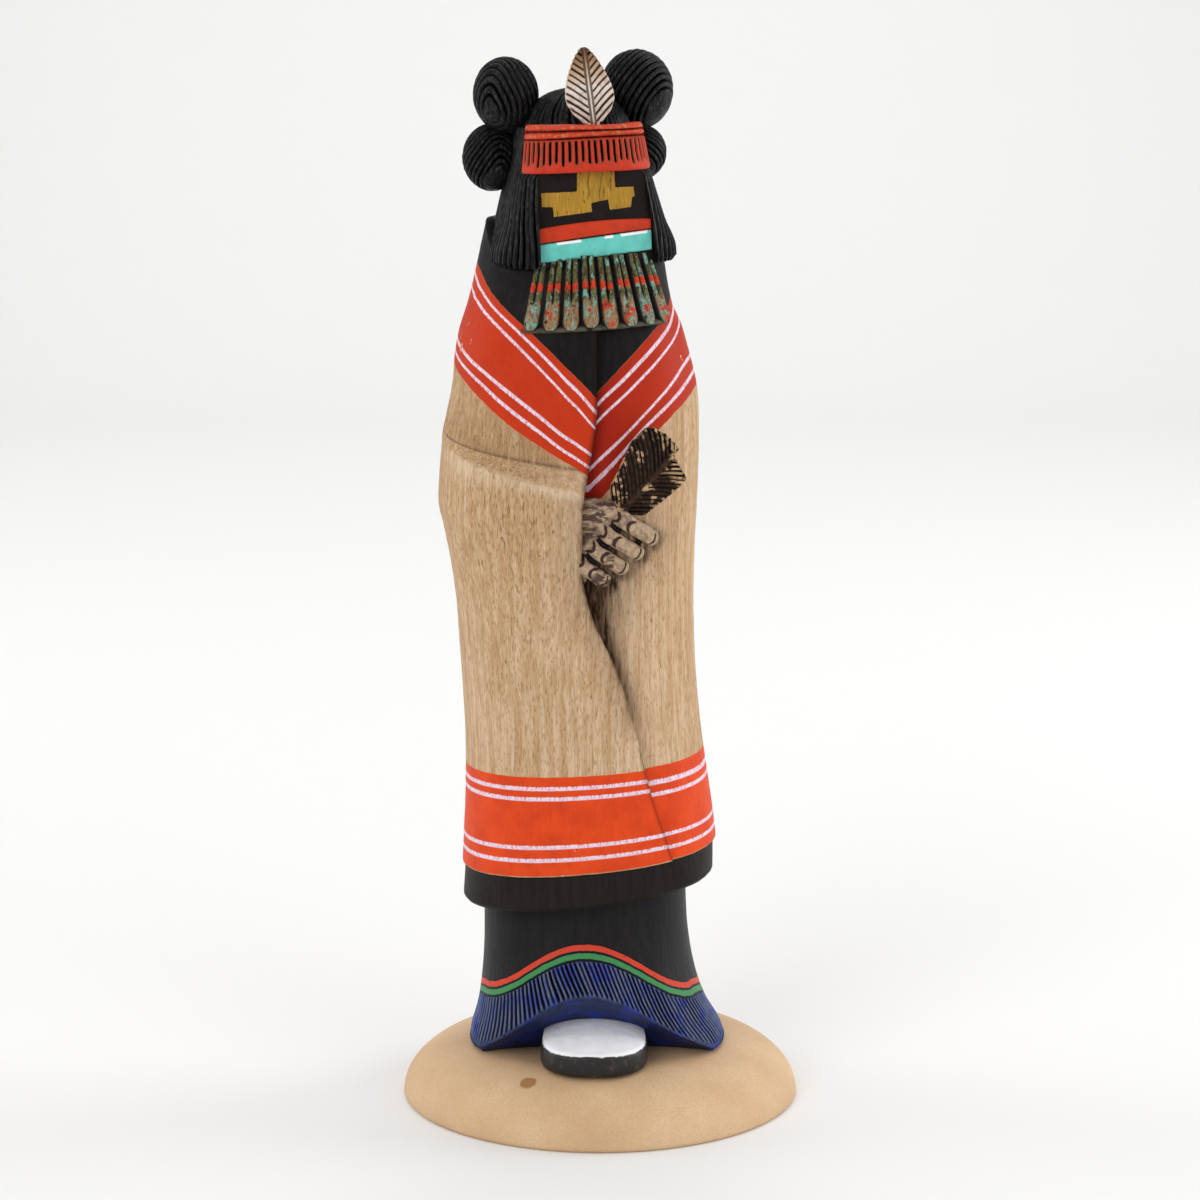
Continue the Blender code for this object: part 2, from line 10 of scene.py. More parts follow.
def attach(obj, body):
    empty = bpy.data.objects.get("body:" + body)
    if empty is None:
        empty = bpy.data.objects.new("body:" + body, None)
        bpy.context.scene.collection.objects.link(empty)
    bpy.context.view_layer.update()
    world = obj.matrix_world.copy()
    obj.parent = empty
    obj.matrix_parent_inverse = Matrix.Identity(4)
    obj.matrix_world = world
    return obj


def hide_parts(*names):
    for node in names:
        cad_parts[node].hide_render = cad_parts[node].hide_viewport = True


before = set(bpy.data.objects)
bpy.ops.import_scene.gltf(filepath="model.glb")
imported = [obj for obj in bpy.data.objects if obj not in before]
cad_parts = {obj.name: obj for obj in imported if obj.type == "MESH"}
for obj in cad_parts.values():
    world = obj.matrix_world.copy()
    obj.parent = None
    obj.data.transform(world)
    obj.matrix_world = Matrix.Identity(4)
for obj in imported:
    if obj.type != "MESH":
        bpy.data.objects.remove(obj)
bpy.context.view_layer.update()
print("frame loaded")

soleHeight = 13.0                    # the carving stands on the disc, this far above the floor
turn = math.radians(12)              # head and body are both turned to the viewer's right
headRoll = math.radians(2)
bodyAxis = np.array([-5.0, 0.0])
headCentre = np.array([-4.9, -0.5, 190.0])
# knuckle and tip of each finger
fingers = [((4.9, -29.0, 122.2), (11.2, -28.4, 118.2)), ((2.0, -29.3, 118.9), (8.2, -28.8, 115.2)),
           ((-0.5, -29.3, 115.6), (4.9, -28.9, 112.0)), ((-3.0, -29.0, 112.4), (1.0, -28.6, 109.2))]


# small helpers

def ease(value):
    value = np.clip(value, 0.0, 1.0)
    return value * value * (3 - 2 * value)


def power(value, exponent):
    return np.sign(value) * np.abs(value) ** exponent


def readCurve(table, at):  # smooth curve through a table's rows, at one value or at many
    table = np.asarray(table, dtype=float)
    keys = table[:, 0]
    at = np.clip(np.asarray(at, dtype=float), keys[0], keys[-1])
    right = np.clip(np.searchsorted(keys, at, side="right"), 1, len(keys) - 1)
    before, after = np.maximum(right - 2, 0), np.minimum(right + 1, len(keys) - 1)
    start, end = table[right - 1, 1:], table[right, 1:]
    span = keys[right] - keys[right - 1]
    share = ((at - keys[right - 1]) / span)[..., None]
    shareIn = span / np.maximum(keys[right] - keys[before], span)
    shareOut = span / np.maximum(keys[after] - keys[right - 1], span)
    slopeIn = (end - table[before, 1:]) * shareIn[..., None]
    slopeOut = (table[after, 1:] - start) * shareOut[..., None]
    cubic = (2 * start - 2 * end + slopeIn + slopeOut) * share ** 3
    square = (3 * end - 3 * start - 2 * slopeIn - slopeOut) * share ** 2
    values = cubic + square + slopeIn * share + start
    return [values[..., i] for i in range(values.shape[-1])]


def refine(rings, steps, sharp=()):
    # more rings between the given ones, smooth except at the sharp ones
    rings = np.asarray(rings, dtype=float)
    gaps = np.linalg.norm(np.diff(rings[..., :3], axis=0), axis=2).mean(axis=1) + 1e-6
    places = np.concatenate([[0], np.cumsum(gaps)])
    result = []
    for k in range(len(rings) - 1):
        span = places[k + 1] - places[k]
        chord = (rings[k + 1] - rings[k]) / span
        slopeIn, slopeOut = chord, chord
        if k > 0 and k not in sharp:
            slopeIn = (rings[k + 1] - rings[k - 1]) / (places[k + 1] - places[k - 1])
        if k + 2 < len(rings) and k + 1 not in sharp:
            slopeOut = (rings[k + 2] - rings[k]) / (places[k + 2] - places[k])
        for t in np.arange(steps[k]) / steps[k]:
            blend = (2 * t ** 3 - 3 * t ** 2 + 1) * rings[k] + (3 * t ** 2 - 2 * t ** 3) * rings[k + 1]
            bend = (t ** 3 - 2 * t ** 2 + t) * slopeIn + (t ** 3 - t ** 2) * slopeOut
            result.append(blend + span * bend)
    result.append(rings[-1])
    return np.array(result)


def figurePoints(x, y, height):
    x, y, height = np.broadcast_arrays(x, y, height)
    return np.stack([x, y, soleHeight + height], axis=-1).astype(float)


def headPoints(right, front, up):
    right, front, up = np.broadcast_arrays(right, front, up)
    turned = np.array(Matrix.Rotation(turn, 3, "Z") @ Matrix.Rotation(-headRoll, 3, "Y"))
    local = np.stack([right, -np.asarray(front), up], axis=-1).astype(float)
    place = headCentre + local @ turned.T
    return figurePoints(place[..., 0], place[..., 1], place[..., 2])


def bodyPoints(angle, radius, height):
    direction = np.asarray(angle) + turn
    x, y = bodyAxis[0] + radius * np.sin(direction), bodyAxis[1] - radius * np.cos(direction)
    return figurePoints(x, y, height)


def buildMesh(name, points, faces, attributes):
    mesh = bpy.data.meshes.new(name)
    mesh.from_pydata((np.asarray(points) * 0.001).tolist(), [], faces)
    for key, values in attributes.items():
        layer = mesh.attributes.new(key, "FLOAT", "POINT")
        layer.data.foreach_set("value", np.asarray(values, dtype=np.float32).ravel())
    bm = bmesh.new()
    bm.from_mesh(mesh)
    bmesh.ops.recalc_face_normals(bm, faces=bm.faces)
    bm.to_mesh(mesh)
    bm.free()
    item = bpy.data.objects.new(name, mesh)
    bpy.context.scene.collection.objects.link(item)
    return item


def gridPiece(name, rings, caps="fan", **attributes):
    # skins a stack of closed rings and closes both ends
    rings = np.asarray(rings, dtype=float)
    rows, columns = rings.shape[:2]
    points = rings.reshape(-1, 3)
    index = np.arange(rows * columns).reshape(rows, columns)
    ahead = np.roll(index, -1, axis=1)
    faces = np.stack([index[:-1], ahead[:-1], ahead[1:], index[1:]], axis=-1).reshape(-1, 4).tolist()
    values = {}
    for key, value in attributes.items():
        values[key] = np.broadcast_to(value, (rows, columns)).reshape(-1)
    for row in (0, rows - 1):
        ring = index[row]
        if caps == "fan":
            points = np.vstack([points, rings[row].mean(axis=0)])
            middle = len(points) - 1
            faces += [[int(ring[i]), int(ring[(i + 1) % columns]), middle] for i in range(columns)]
            values = {key: np.append(value, value[ring].mean()) for key, value in values.items()}
        else:
            loop = [Vector(point) for point in rings[row]]
            faces += [[int(ring[i]) for i in triangle] for triangle in tessellate_polygon([loop])]
    return buildMesh(name, points, faces, values)


# node helpers, for both shader and geometry trees

def addNode(tree, kind, **settings):
    node = tree.nodes.new(kind)
    for key, value in settings.items():
        setattr(node, key, value)
    return node


def plug(tree, target, value):
    if isinstance(value, bpy.types.NodeSocket):
        tree.links.new(value, target)
    elif value is not None:
        target.default_value = value


def calc(tree, operation, a, b=None, c=None, clamp=False):
    node = addNode(tree, "ShaderNodeMath", operation=operation, use_clamp=clamp)
    for target, value in zip(node.inputs, (a, b, c)):
        plug(tree, target, value)
    return node.outputs[0]


def times(tree, a, b, clamp=False):
    return calc(tree, "MULTIPLY", a, b, clamp=clamp)


def plus(tree, a, b):
    return calc(tree, "ADD", a, b)


def minus(tree, a, b):
    return calc(tree, "SUBTRACT", a, b)


def inverse(tree, share):  # what is left of a share of 1
    return calc(tree, "SUBTRACT", 1.0, share)


def timesPlus(tree, a, b, c):
    return calc(tree, "MULTIPLY_ADD", a, b, c)


def larger(tree, a, b):
    return calc(tree, "MAXIMUM", a, b)


def vectorCalc(tree, operation, a, b=None, scale=None):
    node = addNode(tree, "ShaderNodeVectorMath", operation=operation)
    plug(tree, node.inputs[0], a)
    plug(tree, node.inputs[1], b)
    if scale is not None:
        plug(tree, node.inputs["Scale"], scale)
    return node.outputs["Value" if operation in ("LENGTH", "DISTANCE") else "Vector"]


def step(tree, value, at, soft=0.02):  # 0 below, 1 above, with a soft edge
    node = addNode(tree, "ShaderNodeMapRange", interpolation_type="SMOOTHSTEP")
    plug(tree, node.inputs["Value"], value)
    plug(tree, node.inputs["From Min"], at - soft)
    plug(tree, node.inputs["From Max"], at + soft)
    return node.outputs["Result"]


def between(tree, value, low, high, soft=0.02):
    return times(tree, step(tree, value, low, soft), inverse(tree, step(tree, value, high, soft)))


def scaled(tree, coords, scale, place=(0, 0, 0), rotation=(0, 0, 0)):
    node = addNode(tree, "ShaderNodeMapping")
    plug(tree, node.inputs["Vector"], coords)
    node.inputs["Location"].default_value = place
    node.inputs["Rotation"].default_value = rotation
    node.inputs["Scale"].default_value = scale
    return node.outputs["Vector"]


def noise(tree, coords, scale, detail=3.0, roughness=0.55, distortion=0.0, seed=0.0):
    node = addNode(tree, "ShaderNodeTexNoise", noise_dimensions="4D")
    plug(tree, node.inputs["Vector"], coords)
    for key, value in (("Scale", scale), ("Detail", detail), ("Roughness", roughness),
                       ("Distortion", distortion), ("W", seed)):
        plug(tree, node.inputs[key], value)
    return node.outputs[0]


def ramp(tree, value, stops):
    node = addNode(tree, "ShaderNodeValToRGB")
    elements = node.color_ramp.elements
    while len(elements) < len(stops):
        elements.new(0.5)
    for element, (place, colour) in zip(elements, stops):
        element.position = place
        element.color = colour
    plug(tree, node.inputs[0], value)
    return node.outputs[0]


def blendColour(tree, share, first, second, mode="MIX"):
    node = addNode(tree, "ShaderNodeMix", data_type="RGBA", blend_type=mode)
    plug(tree, node.inputs[0], share)
    plug(tree, node.inputs[6], first)
    plug(tree, node.inputs[7], second)
    return node.outputs[2]


def attribute(tree, name):
    return addNode(tree, "ShaderNodeAttribute", attribute_name=name).outputs["Fac"]


def paint(code):  # a hex colour, as linear light
    channels = [int(code[i:i + 2], 16) / 255 for i in (0, 2, 4)]
    return tuple(c / 12.92 if c <= 0.04045 else ((c + 0.055) / 1.055) ** 2.4 for c in channels) + (1.0,)


def tint(tree, under, share, code):  # a share of one paint laid over a colour
    return blendColour(tree, share, under, paint(code))


def twoTone(tree, share, code, otherCode):
    return blendColour(tree, share, paint(code), paint(otherCode))


def newMaterial(name):
    material = bpy.data.materials.new(name)
    material.use_nodes = True
    tree = material.node_tree
    coords = addNode(tree, "ShaderNodeTexCoord").outputs["Object"]
    return material, tree, coords


def finishMaterial(tree, colour, roughness, height=None, depth=0.0002, specular=0.4):
    shader = tree.nodes["Principled BSDF"]
    plug(tree, shader.inputs["Base Color"], colour)
    plug(tree, shader.inputs["Roughness"], roughness)
    shader.inputs["Specular IOR Level"].default_value = specular
    if height is not None:
        bump = addNode(tree, "ShaderNodeBump")
        bump.inputs["Distance"].default_value = depth
        plug(tree, bump.inputs["Height"], height)
        tree.links.new(bump.outputs["Normal"], shader.inputs["Normal"])


# geometry nodes: combed grooves along a piece's own strand coordinate

def makeCombTree():
    tree = bpy.data.node_groups.new("combedGrooves", "GeometryNodeTree")
    face = tree.interface
    face.new_socket("Geometry", in_out="INPUT", socket_type="NodeSocketGeometry")
    for label, default in (("Grooves", 40.0), ("Depth", 0.0004), ("Sharpness", 2.0), ("Wander", 0.2),
                           ("Wander Scale", 90.0), ("Unevenness", 0.00004), ("Shallowest", 0.5)):
        face.new_socket(label, in_out="INPUT", socket_type="NodeSocketFloat").default_value = default
    face.new_socket("Seed", in_out="INPUT", socket_type="NodeSocketInt").default_value = 1
    face.new_socket("Material", in_out="INPUT", socket_type="NodeSocketMaterial")
    face.new_socket("Geometry", in_out="OUTPUT", socket_type="NodeSocketGeometry")
    given = addNode(tree, "NodeGroupInput").outputs
    place = addNode(tree, "GeometryNodeInputPosition").outputs[0]
    normal = addNode(tree, "GeometryNodeInputNormal").outputs[0]
    strand = addNode(tree, "GeometryNodeInputNamedAttribute", data_type="FLOAT")
    strand.inputs["Name"].default_value = "strand"
    weight = addNode(tree, "GeometryNodeInputNamedAttribute", data_type="FLOAT")
    weight.inputs["Name"].default_value = "carveDepth"

    wander = minus(tree, noise(tree, place, given["Wander Scale"], 2.0, seed=given["Seed"]), 0.5)
    across = timesPlus(tree, strand.outputs[0], given["Grooves"], times(tree, wander, given["Wander"]))
    part = calc(tree, "FRACT", across)
    nearness = timesPlus(tree, calc(tree, "ABSOLUTE", minus(tree, part, 0.5)), -2.0, 1.0)
    profile = calc(tree, "POWER", nearness, given["Sharpness"])
    random = addNode(tree, "FunctionNodeRandomValue", data_type="FLOAT")
    floats = [socket for socket in random.inputs if socket.type == "VALUE"]
    plug(tree, floats[0], given["Shallowest"])
    floats[1].default_value = 1.0
    plug(tree, random.inputs["ID"], calc(tree, "FLOOR", across))
    plug(tree, random.inputs["Seed"], given["Seed"])
    fromRandom = [socket for socket in random.outputs if socket.type == "VALUE"][0]
    shade = times(tree, times(tree, profile, fromRandom), weight.outputs[0])
    rough = minus(tree, noise(tree, place, 420.0, 2.0, seed=given["Seed"]), 0.5)
    outward = minus(tree, times(tree, rough, given["Unevenness"]), times(tree, shade, given["Depth"]))

    mover = addNode(tree, "GeometryNodeSetPosition")
    plug(tree, mover.inputs["Geometry"], given["Geometry"])
    plug(tree, mover.inputs["Offset"], vectorCalc(tree, "SCALE", normal, scale=outward))
    store = addNode(tree, "GeometryNodeStoreNamedAttribute", data_type="FLOAT", domain="POINT")
    store.inputs["Name"].default_value = "grooveShade"
    plug(tree, store.inputs["Geometry"], mover.outputs[0])
    plug(tree, store.inputs["Value"], shade)
    realize = addNode(tree, "GeometryNodeRealizeInstances")
    plug(tree, realize.inputs[0], store.outputs[0])
    setMaterial = addNode(tree, "GeometryNodeSetMaterial")
    plug(tree, setMaterial.inputs["Geometry"], realize.outputs[0])
    plug(tree, setMaterial.inputs["Material"], given["Material"])
    plug(tree, addNode(tree, "NodeGroupOutput").inputs[0], setMaterial.outputs[0])
    return tree


def runNodes(item, tree, **values):
    modifier = item.modifiers.new("Nodes", "NODES")
    modifier.node_group = tree
    for socket in tree.interface.items_tree:
        key = socket.name.replace(" ", "")
        key = key[0].lower() + key[1:]
        if socket.in_out == "INPUT" and key in values:
            modifier[socket.identifier] = values[key]
    evaluated = item.evaluated_get(bpy.context.evaluated_depsgraph_get())
    mesh = bpy.data.meshes.new_from_object(evaluated)
    item.modifiers.clear()
    item.data = mesh
    return item


def finishPiece(item, replaced=("figure",), material=None, sharpAngle=50):
    mesh = item.data
    if material:
        mesh.materials.clear()
        mesh.materials.append(material)
    mesh.polygons.foreach_set("use_smooth", np.ones(len(mesh.polygons), dtype=bool))
    mesh.set_sharp_from_angle(angle=math.radians(sharpAngle))
    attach(item, "root")
    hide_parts(*replaced)
    return item


combTree = makeCombTree()
print("helpers ready")


# finishes

def cottonwood(tree, coords):
    # straight upright grain with many short brown pores, returns colour and height
    drift = noise(tree, scaled(tree, coords, (26, 26, 9)), 1.0, 3.0, seed=2.0)
    fibre = noise(tree, scaled(tree, coords, (3000, 3000, 60)), 1.0, 4.0, 0.6, 0.2, seed=4.0)
    streak = noise(tree, scaled(tree, coords, (700, 700, 22)), 1.0, 4.0, 0.65, 0.4, seed=7.0)
    pores = noise(tree, scaled(tree, coords, (3600, 3600, 620)), 1.0, 1.0, 0.4, 0.0, seed=9.0)
    flecks = noise(tree, scaled(tree, coords, (2100, 2100, 380)), 1.0, 1.5, 0.5, 0.3, seed=12.0)
    figure = noise(tree, scaled(tree, coords, (900, 900, 420)), 1.0, 2.0, 0.5, 1.2, seed=15.0)
    crowd = times(tree, minus(tree, drift, 0.5), 0.35)
    pores = step(tree, plus(tree, pores, crowd), 0.60, 0.05)
    flecks = step(tree, plus(tree, flecks, crowd), 0.68, 0.04)
    colour = ramp(tree, drift, [(0.30, paint("d2b597")), (0.48, paint("caab89")), (0.70, paint("b7926b"))])
    colour = tint(tree, colour, times(tree, step(tree, streak, 0.54, 0.12), 0.60), "a98256")
    pale = minus(tree, 0.35, times(tree, step(tree, streak, 0.40, 0.12), 0.35))
    colour = tint(tree, colour, pale, "e2ccad")
    colour = tint(tree, colour, times(tree, step(tree, fibre, 0.52, 0.14), 0.42), "a07b4f")
    colour = tint(tree, colour, times(tree, step(tree, figure, 0.56, 0.08), 0.22), "9c7547")
    colour = tint(tree, colour, times(tree, pores, 0.50), "8f6a3f")
    colour = tint(tree, colour, times(tree, flecks, 0.60), "6f4c2b")
    height = minus(tree, times(tree, fibre, 0.5), plus(tree, times(tree, pores, 0.5), flecks))
    return colour, height


def stripes(tree, value, rows, wobble, soft):
    # several bars across one coordinate, each from a low to a high value
    total = None
    value = plus(tree, value, wobble)
    for low, high in rows:
        bar = between(tree, value, low, high, soft)
        total = bar if total is None else larger(tree, total, bar)
    return total


def makeRobeMaterial():
    material, tree, coords = newMaterial("paintedCottonwood")
    wood, woodHeight = cottonwood(tree, coords)
    band, hem = attribute(tree, "bandShare"), attribute(tree, "hemHeight")
    under = attribute(tree, "underPanel")
    edgeNoise = minus(tree, noise(tree, coords, 520.0, 3.0, seed=3.0), 0.5)
    dabs = noise(tree, scaled(tree, coords, (2600, 2600, 900), rotation=(0, 0.5, 0)), 1.0, 2.0, seed=5.0)
    mottle = noise(tree, coords, 160.0, 4.0, seed=11.0)
    brushed = noise(tree, scaled(tree, coords, (900, 900, 120)), 1.0, 3.0, 0.6, seed=14.0)

    # painted shade: dark brown in the hollow beside the sleeve and round the fingers, darker over the elbow's
    # ledge, and a dark line in the elbow's crease; a painted highlight along the brow
    recessShade = times(tree, attribute(tree, "cavity"), timesPlus(tree, brushed, 2.2, -0.15), clamp=True)
    wood = tint(tree, wood, recessShade, "2e1a0e")
    shaded = times(tree, attribute(tree, "ledgeShade"), timesPlus(tree, brushed, 1.2, -0.1), clamp=True)
    wood = tint(tree, wood, shaded, "85603a")
    # painted highlight along the brow's edge
    pale = times(tree, attribute(tree, "browPale"), step(tree, brushed, 0.42, 0.15))
    wood = tint(tree, wood, times(tree, pale, 0.38), "e6d3b8")
    # painted shade: a dark line in the elbow's crease
    crease = times(tree, attribute(tree, "creaseNear"), step(tree, brushed, 0.36, 0.15))
    wood = tint(tree, wood, times(tree, crease, 0.8), "4f3820")

    ragged = timesPlus(tree, edgeNoise, 0.016, band)
    inBand = between(tree, ragged, 0.0, 1.0, 0.006)
    above = inverse(tree, step(tree, ragged, 0.0, 0.006))
    hemRagged = timesPlus(tree, edgeNoise, 0.3, hem)
    inHem = between(tree, hemRagged, 44.25, 66.0, 0.08)
    below = inverse(tree, step(tree, hemRagged, 43.95, 0.08))
    tick = minus(tree, dabs, 0.5)
    bandStripes = stripes(tree, band, robe["bandStripes"], times(tree, tick, 0.018), 0.006)
    hemStripes = stripes(tree, hem, robe["hemStripes"], times(tree, tick, 0.5), 0.12)

    red = twoTone(tree, step(tree, mottle, 0.52, 0.2), "dc4a1d", "cc401a")
    red = tint(tree, red, times(tree, step(tree, brushed, 0.6, 0.1), 0.25), "b9300f")
    # painted shade: the shoulder band's red is darker than the hem's, for the shade under the head
    red = tint(tree, red, times(tree, inBand, 0.62), "aa260c")
    # painted shade: the red on the panel beneath is darker, most of all near the lap edge it passes under
    red = tint(tree, red, times(tree, under, inBand), "951b0e")
    white = twoTone(tree, step(tree, dabs, 0.55, 0.12), "e3d3e2", "cf9aa4")
    black = twoTone(tree, step(tree, brushed, 0.55, 0.2), "100d0d", "1b1817")
    colour = blendColour(tree, larger(tree, inBand, inHem), wood, red)
    striped = larger(tree, times(tree, bandStripes, inBand), times(tree, hemStripes, inHem))
    colour = blendColour(tree, striped, colour, white)
    colour = blendColour(tree, above, colour, black)
    black = twoTone(tree, step(tree, brushed, 0.52, 0.15), "1b1716", "231e1c")
    colour = blendColour(tree, below, colour, black)
    # painted shadow: a dark line along the lap edge, where the upper panel overlaps the one beneath
    colour = tint(tree, colour, times(tree, attribute(tree, "seamNear"), 0.75), "1a0b08")

    # small chips, each placed by its turn round the robe, its height and its size
    side, level = attribute(tree, "turnAngle"), attribute(tree, "robeHeight")
    for turned, height, size in robe["chips"]:
        across = times(tree, minus(tree, side, turned), 0.42 / size)
        up = times(tree, minus(tree, level, height), 0.8 / size)
        away = calc(tree, "SQRT", plus(tree, times(tree, across, across), times(tree, up, up)))
        away = timesPlus(tree, edgeNoise, 0.5, away)
        scuffed = times(tree, inverse(tree, step(tree, away, 1.3, 0.3)), step(tree, dabs, 0.52, 0.06))
        colour = tint(tree, colour, scuffed, "d9a27c")
        colour = tint(tree, colour, inverse(tree, step(tree, away, 0.45, 0.15)), "6e2a18")

    painted = larger(tree, larger(tree, above, below), larger(tree, inBand, inHem))
    rough = timesPlus(tree, painted, -0.1, 0.62)
    height = times(tree, woodHeight, timesPlus(tree, painted, -0.6, 1.0))
    finishMaterial(tree, colour, rough, height, 0.00012, 0.09)
    return material


# robe

robe = dict(
    # height, left, right, front, back
    rows=[(33, -31.6, 25.9, 26.0, 24.5), (43, -30.9, 26.0, 25.8, 24.2), (55, -30.3, 24.6, 25.4, 23.8),
          (66, -29.9, 23.0, 24.9, 23.2), (78, -30.3, 21.7, 24.4, 22.6), (91, -31.1, 20.9, 24.1, 22.3),
          (105, -32.2, 20.7, 24.0, 22.3), (115, -34.0, 21.0, 24.0, 22.3), (123, -35.5, 21.4, 24.0, 22.2),
          (130, -35.7, 21.6, 23.8, 22.0), (138, -34.5, 21.8, 23.3, 21.6), (148, -32.4, 21.2, 22.6, 20.8),
          (156, -31.6, 19.3, 21.6, 19.6), (162, -30.3, 17.5, 20.6, 18.4), (169, -27.9, 14.7, 18.8, 16.8),
          (175, -25.6, 13.3, 17.4, 15.4), (185, -23.9, 12.0, 16.5, 14.4)],
    # height, how far right the edge of the upper front is, how proud it stands
    lap=[(33, 18.5, 0.0), (46, 14.9, 0.9), (59, 10.8, 1.4), (70, 8.0, 2.1), (80, 5.4, 3.0), (88, 2.8, 3.8),
         (96, 0.0, 4.6), (102, -2.6, 5.1), (107, -4.0, 5.5), (118, -4.2, 6.0), (127, -4.0, 6.0),
         (132, -3.2, 2.4), (136, -1.2, 1.2), (170, -1.0, 1.0), (185, -1.0, 0.6)],
    crease=(138.7, 132.0), brow=(138.2, 127.3), roundness=2.2, hemTilt=0.11, collar=(174.7, 184.5),
    hem=[(36.1, 1.3), (36.8, 0.7), (43.6, 0.7), (44.2, 0.0)],
    levels=[50, 60, 71, 82, 92, 101, 110, 118, 123.5, "brow", "crease", 143, 149, 155, 161, 167],
    # painted lines of the shoulder band, as (degrees round the robe, height), left panel then right panel
    band=[
        (0.0, [(-180, 169.5), (-120, 172.6), (-90, 174.6), (-75.3, 173.8), (-55.9, 170.2), (-38.6, 167.0),
               (-23.5, 163.2), (-12.5, 159.4), (-4.0, 155.4), (2.4, 151.3), (7.8, 148.0), (9, 147.5)],
         [(8, 147.6), (10.4, 149.0), (16.6, 151.8), (26.9, 155.8), (42.7, 160.5), (59, 163.7), (77.4, 166.6),
          (95, 168.3), (130, 169.3), (180, 169.5)]),
        (0.12, [(-180, 166.8), (-120, 170.6), (-90, 172.6), (-65.3, 169.8), (-47.8, 167.0), (-29.3, 162.9),
                (-17.6, 159.1), (-8.3, 155.0), (-1.1, 150.6), (6.2, 145.8), (9, 144.2)],
         [(8, 145.2), (13.2, 147.8), (20, 150.5), (32.4, 154.7), (48.9, 159.1), (63.5, 162.1), (75, 164.2),
          (95, 165.8), (130, 166.7), (180, 166.8)]),
        (0.30, [(-180, 162.9), (-120, 167.6), (-90, 170.0), (-68.8, 168.2), (-44.2, 164.1), (-28.3, 160.0),
                (-17.3, 155.9), (-9, 151.8), (-1.3, 147.2), (6.3, 142.4), (9, 140.9)],
         [(8, 141.2), (12.4, 143.8), (19.8, 147.2), (30.6, 151.1), (45.5, 155.2), (57.2, 157.9),
          (78.4, 161.6), (95, 162.8), (130, 162.9), (180, 162.9)]),
        (0.715, [(-180, 153.6), (-120, 157.0), (-90, 158.4), (-71.1, 157.0), (-46.8, 153.0), (-33.3, 149.8),
                 (-21.9, 146.6), (-11.9, 143.4), (-4, 140.3), (3.1, 137.5), (7, 136.0), (9, 135.2)],
         [(8, 132.2), (12.3, 134.6), (20.4, 138.6), (29.4, 142.7), (41.6, 147.2), (61.2, 152.4), (75, 154.2),
          (95, 154.6), (130, 153.9), (180, 153.6)]),
        (0.865, [(-180, 150.3), (-120, 154.2), (-90, 156.0), (-68.2, 154.1), (-46.5, 150.2), (-32.6, 146.6),
                 (-20.9, 143.3), (-11.4, 140.3), (-3.5, 137.2), (3.4, 134.4), (9, 132.2)],
         [(8, 128.3), (11, 129.9), (18.8, 134.2), (25, 137.7), (32.2, 141.0), (44.6, 144.9), (63.4, 149.2),
          (80, 151.2), (100, 151.4), (130, 150.7), (180, 150.3)]),
        (1.0, [(-180, 147.4), (-120, 151.4), (-90, 153.4), (-67, 151.1), (-44.9, 146.7), (-30.8, 143.0),
               (-20.4, 140.1), (-10.9, 137.4), (-2.3, 134.6), (4, 132.3), (9, 130.6)],
         [(8, 123.4), (14.5, 126.8), (21, 131.2), (28, 135.6), (34, 138.4), (41.4, 140.6), (51.2, 143.5),
          (67.2, 146.7), (80, 148.2), (100, 148.4), (130, 147.8), (180, 147.4)])],
    # the hem's stripes sit at other heights on the right panel than on the left
    hemMatch=[(30.0, 30.0), (44.2, 44.2), (47.0, 47.65), (50.25, 50.5), (59.65, 61.2), (62.35, 63.4),
              (66.0, 66.0), (70.0, 70.0)],
    bandStripes=[(0.098, 0.142), (0.280, 0.318), (0.695, 0.735), (0.846, 0.886)],
    hemStripes=[(47.25, 48.1), (50.1, 50.95), (60.75, 61.6), (63.0, 63.85)],
    # degrees round the robe, height and size of each chip in the paint
    chips=[(-66, 162.6, 0.6), (-72, 159.4, 0.5), (-69, 157.0, 0.6), (-58, 158.6, 0.4), (66, 154.8, 0.4),
           (-4, 49.6, 0.3)],
    leftColumns=230, rightColumns=180)


def robeLapAngle(height):
    left, right = readCurve(robe["rows"], height)[:2]
    across = (readCurve(robe["lap"], height)[0] - (left + right) / 2) / ((right - left) / 2)
    return float(np.arcsin(power(across, robe["roundness"] / 2)))


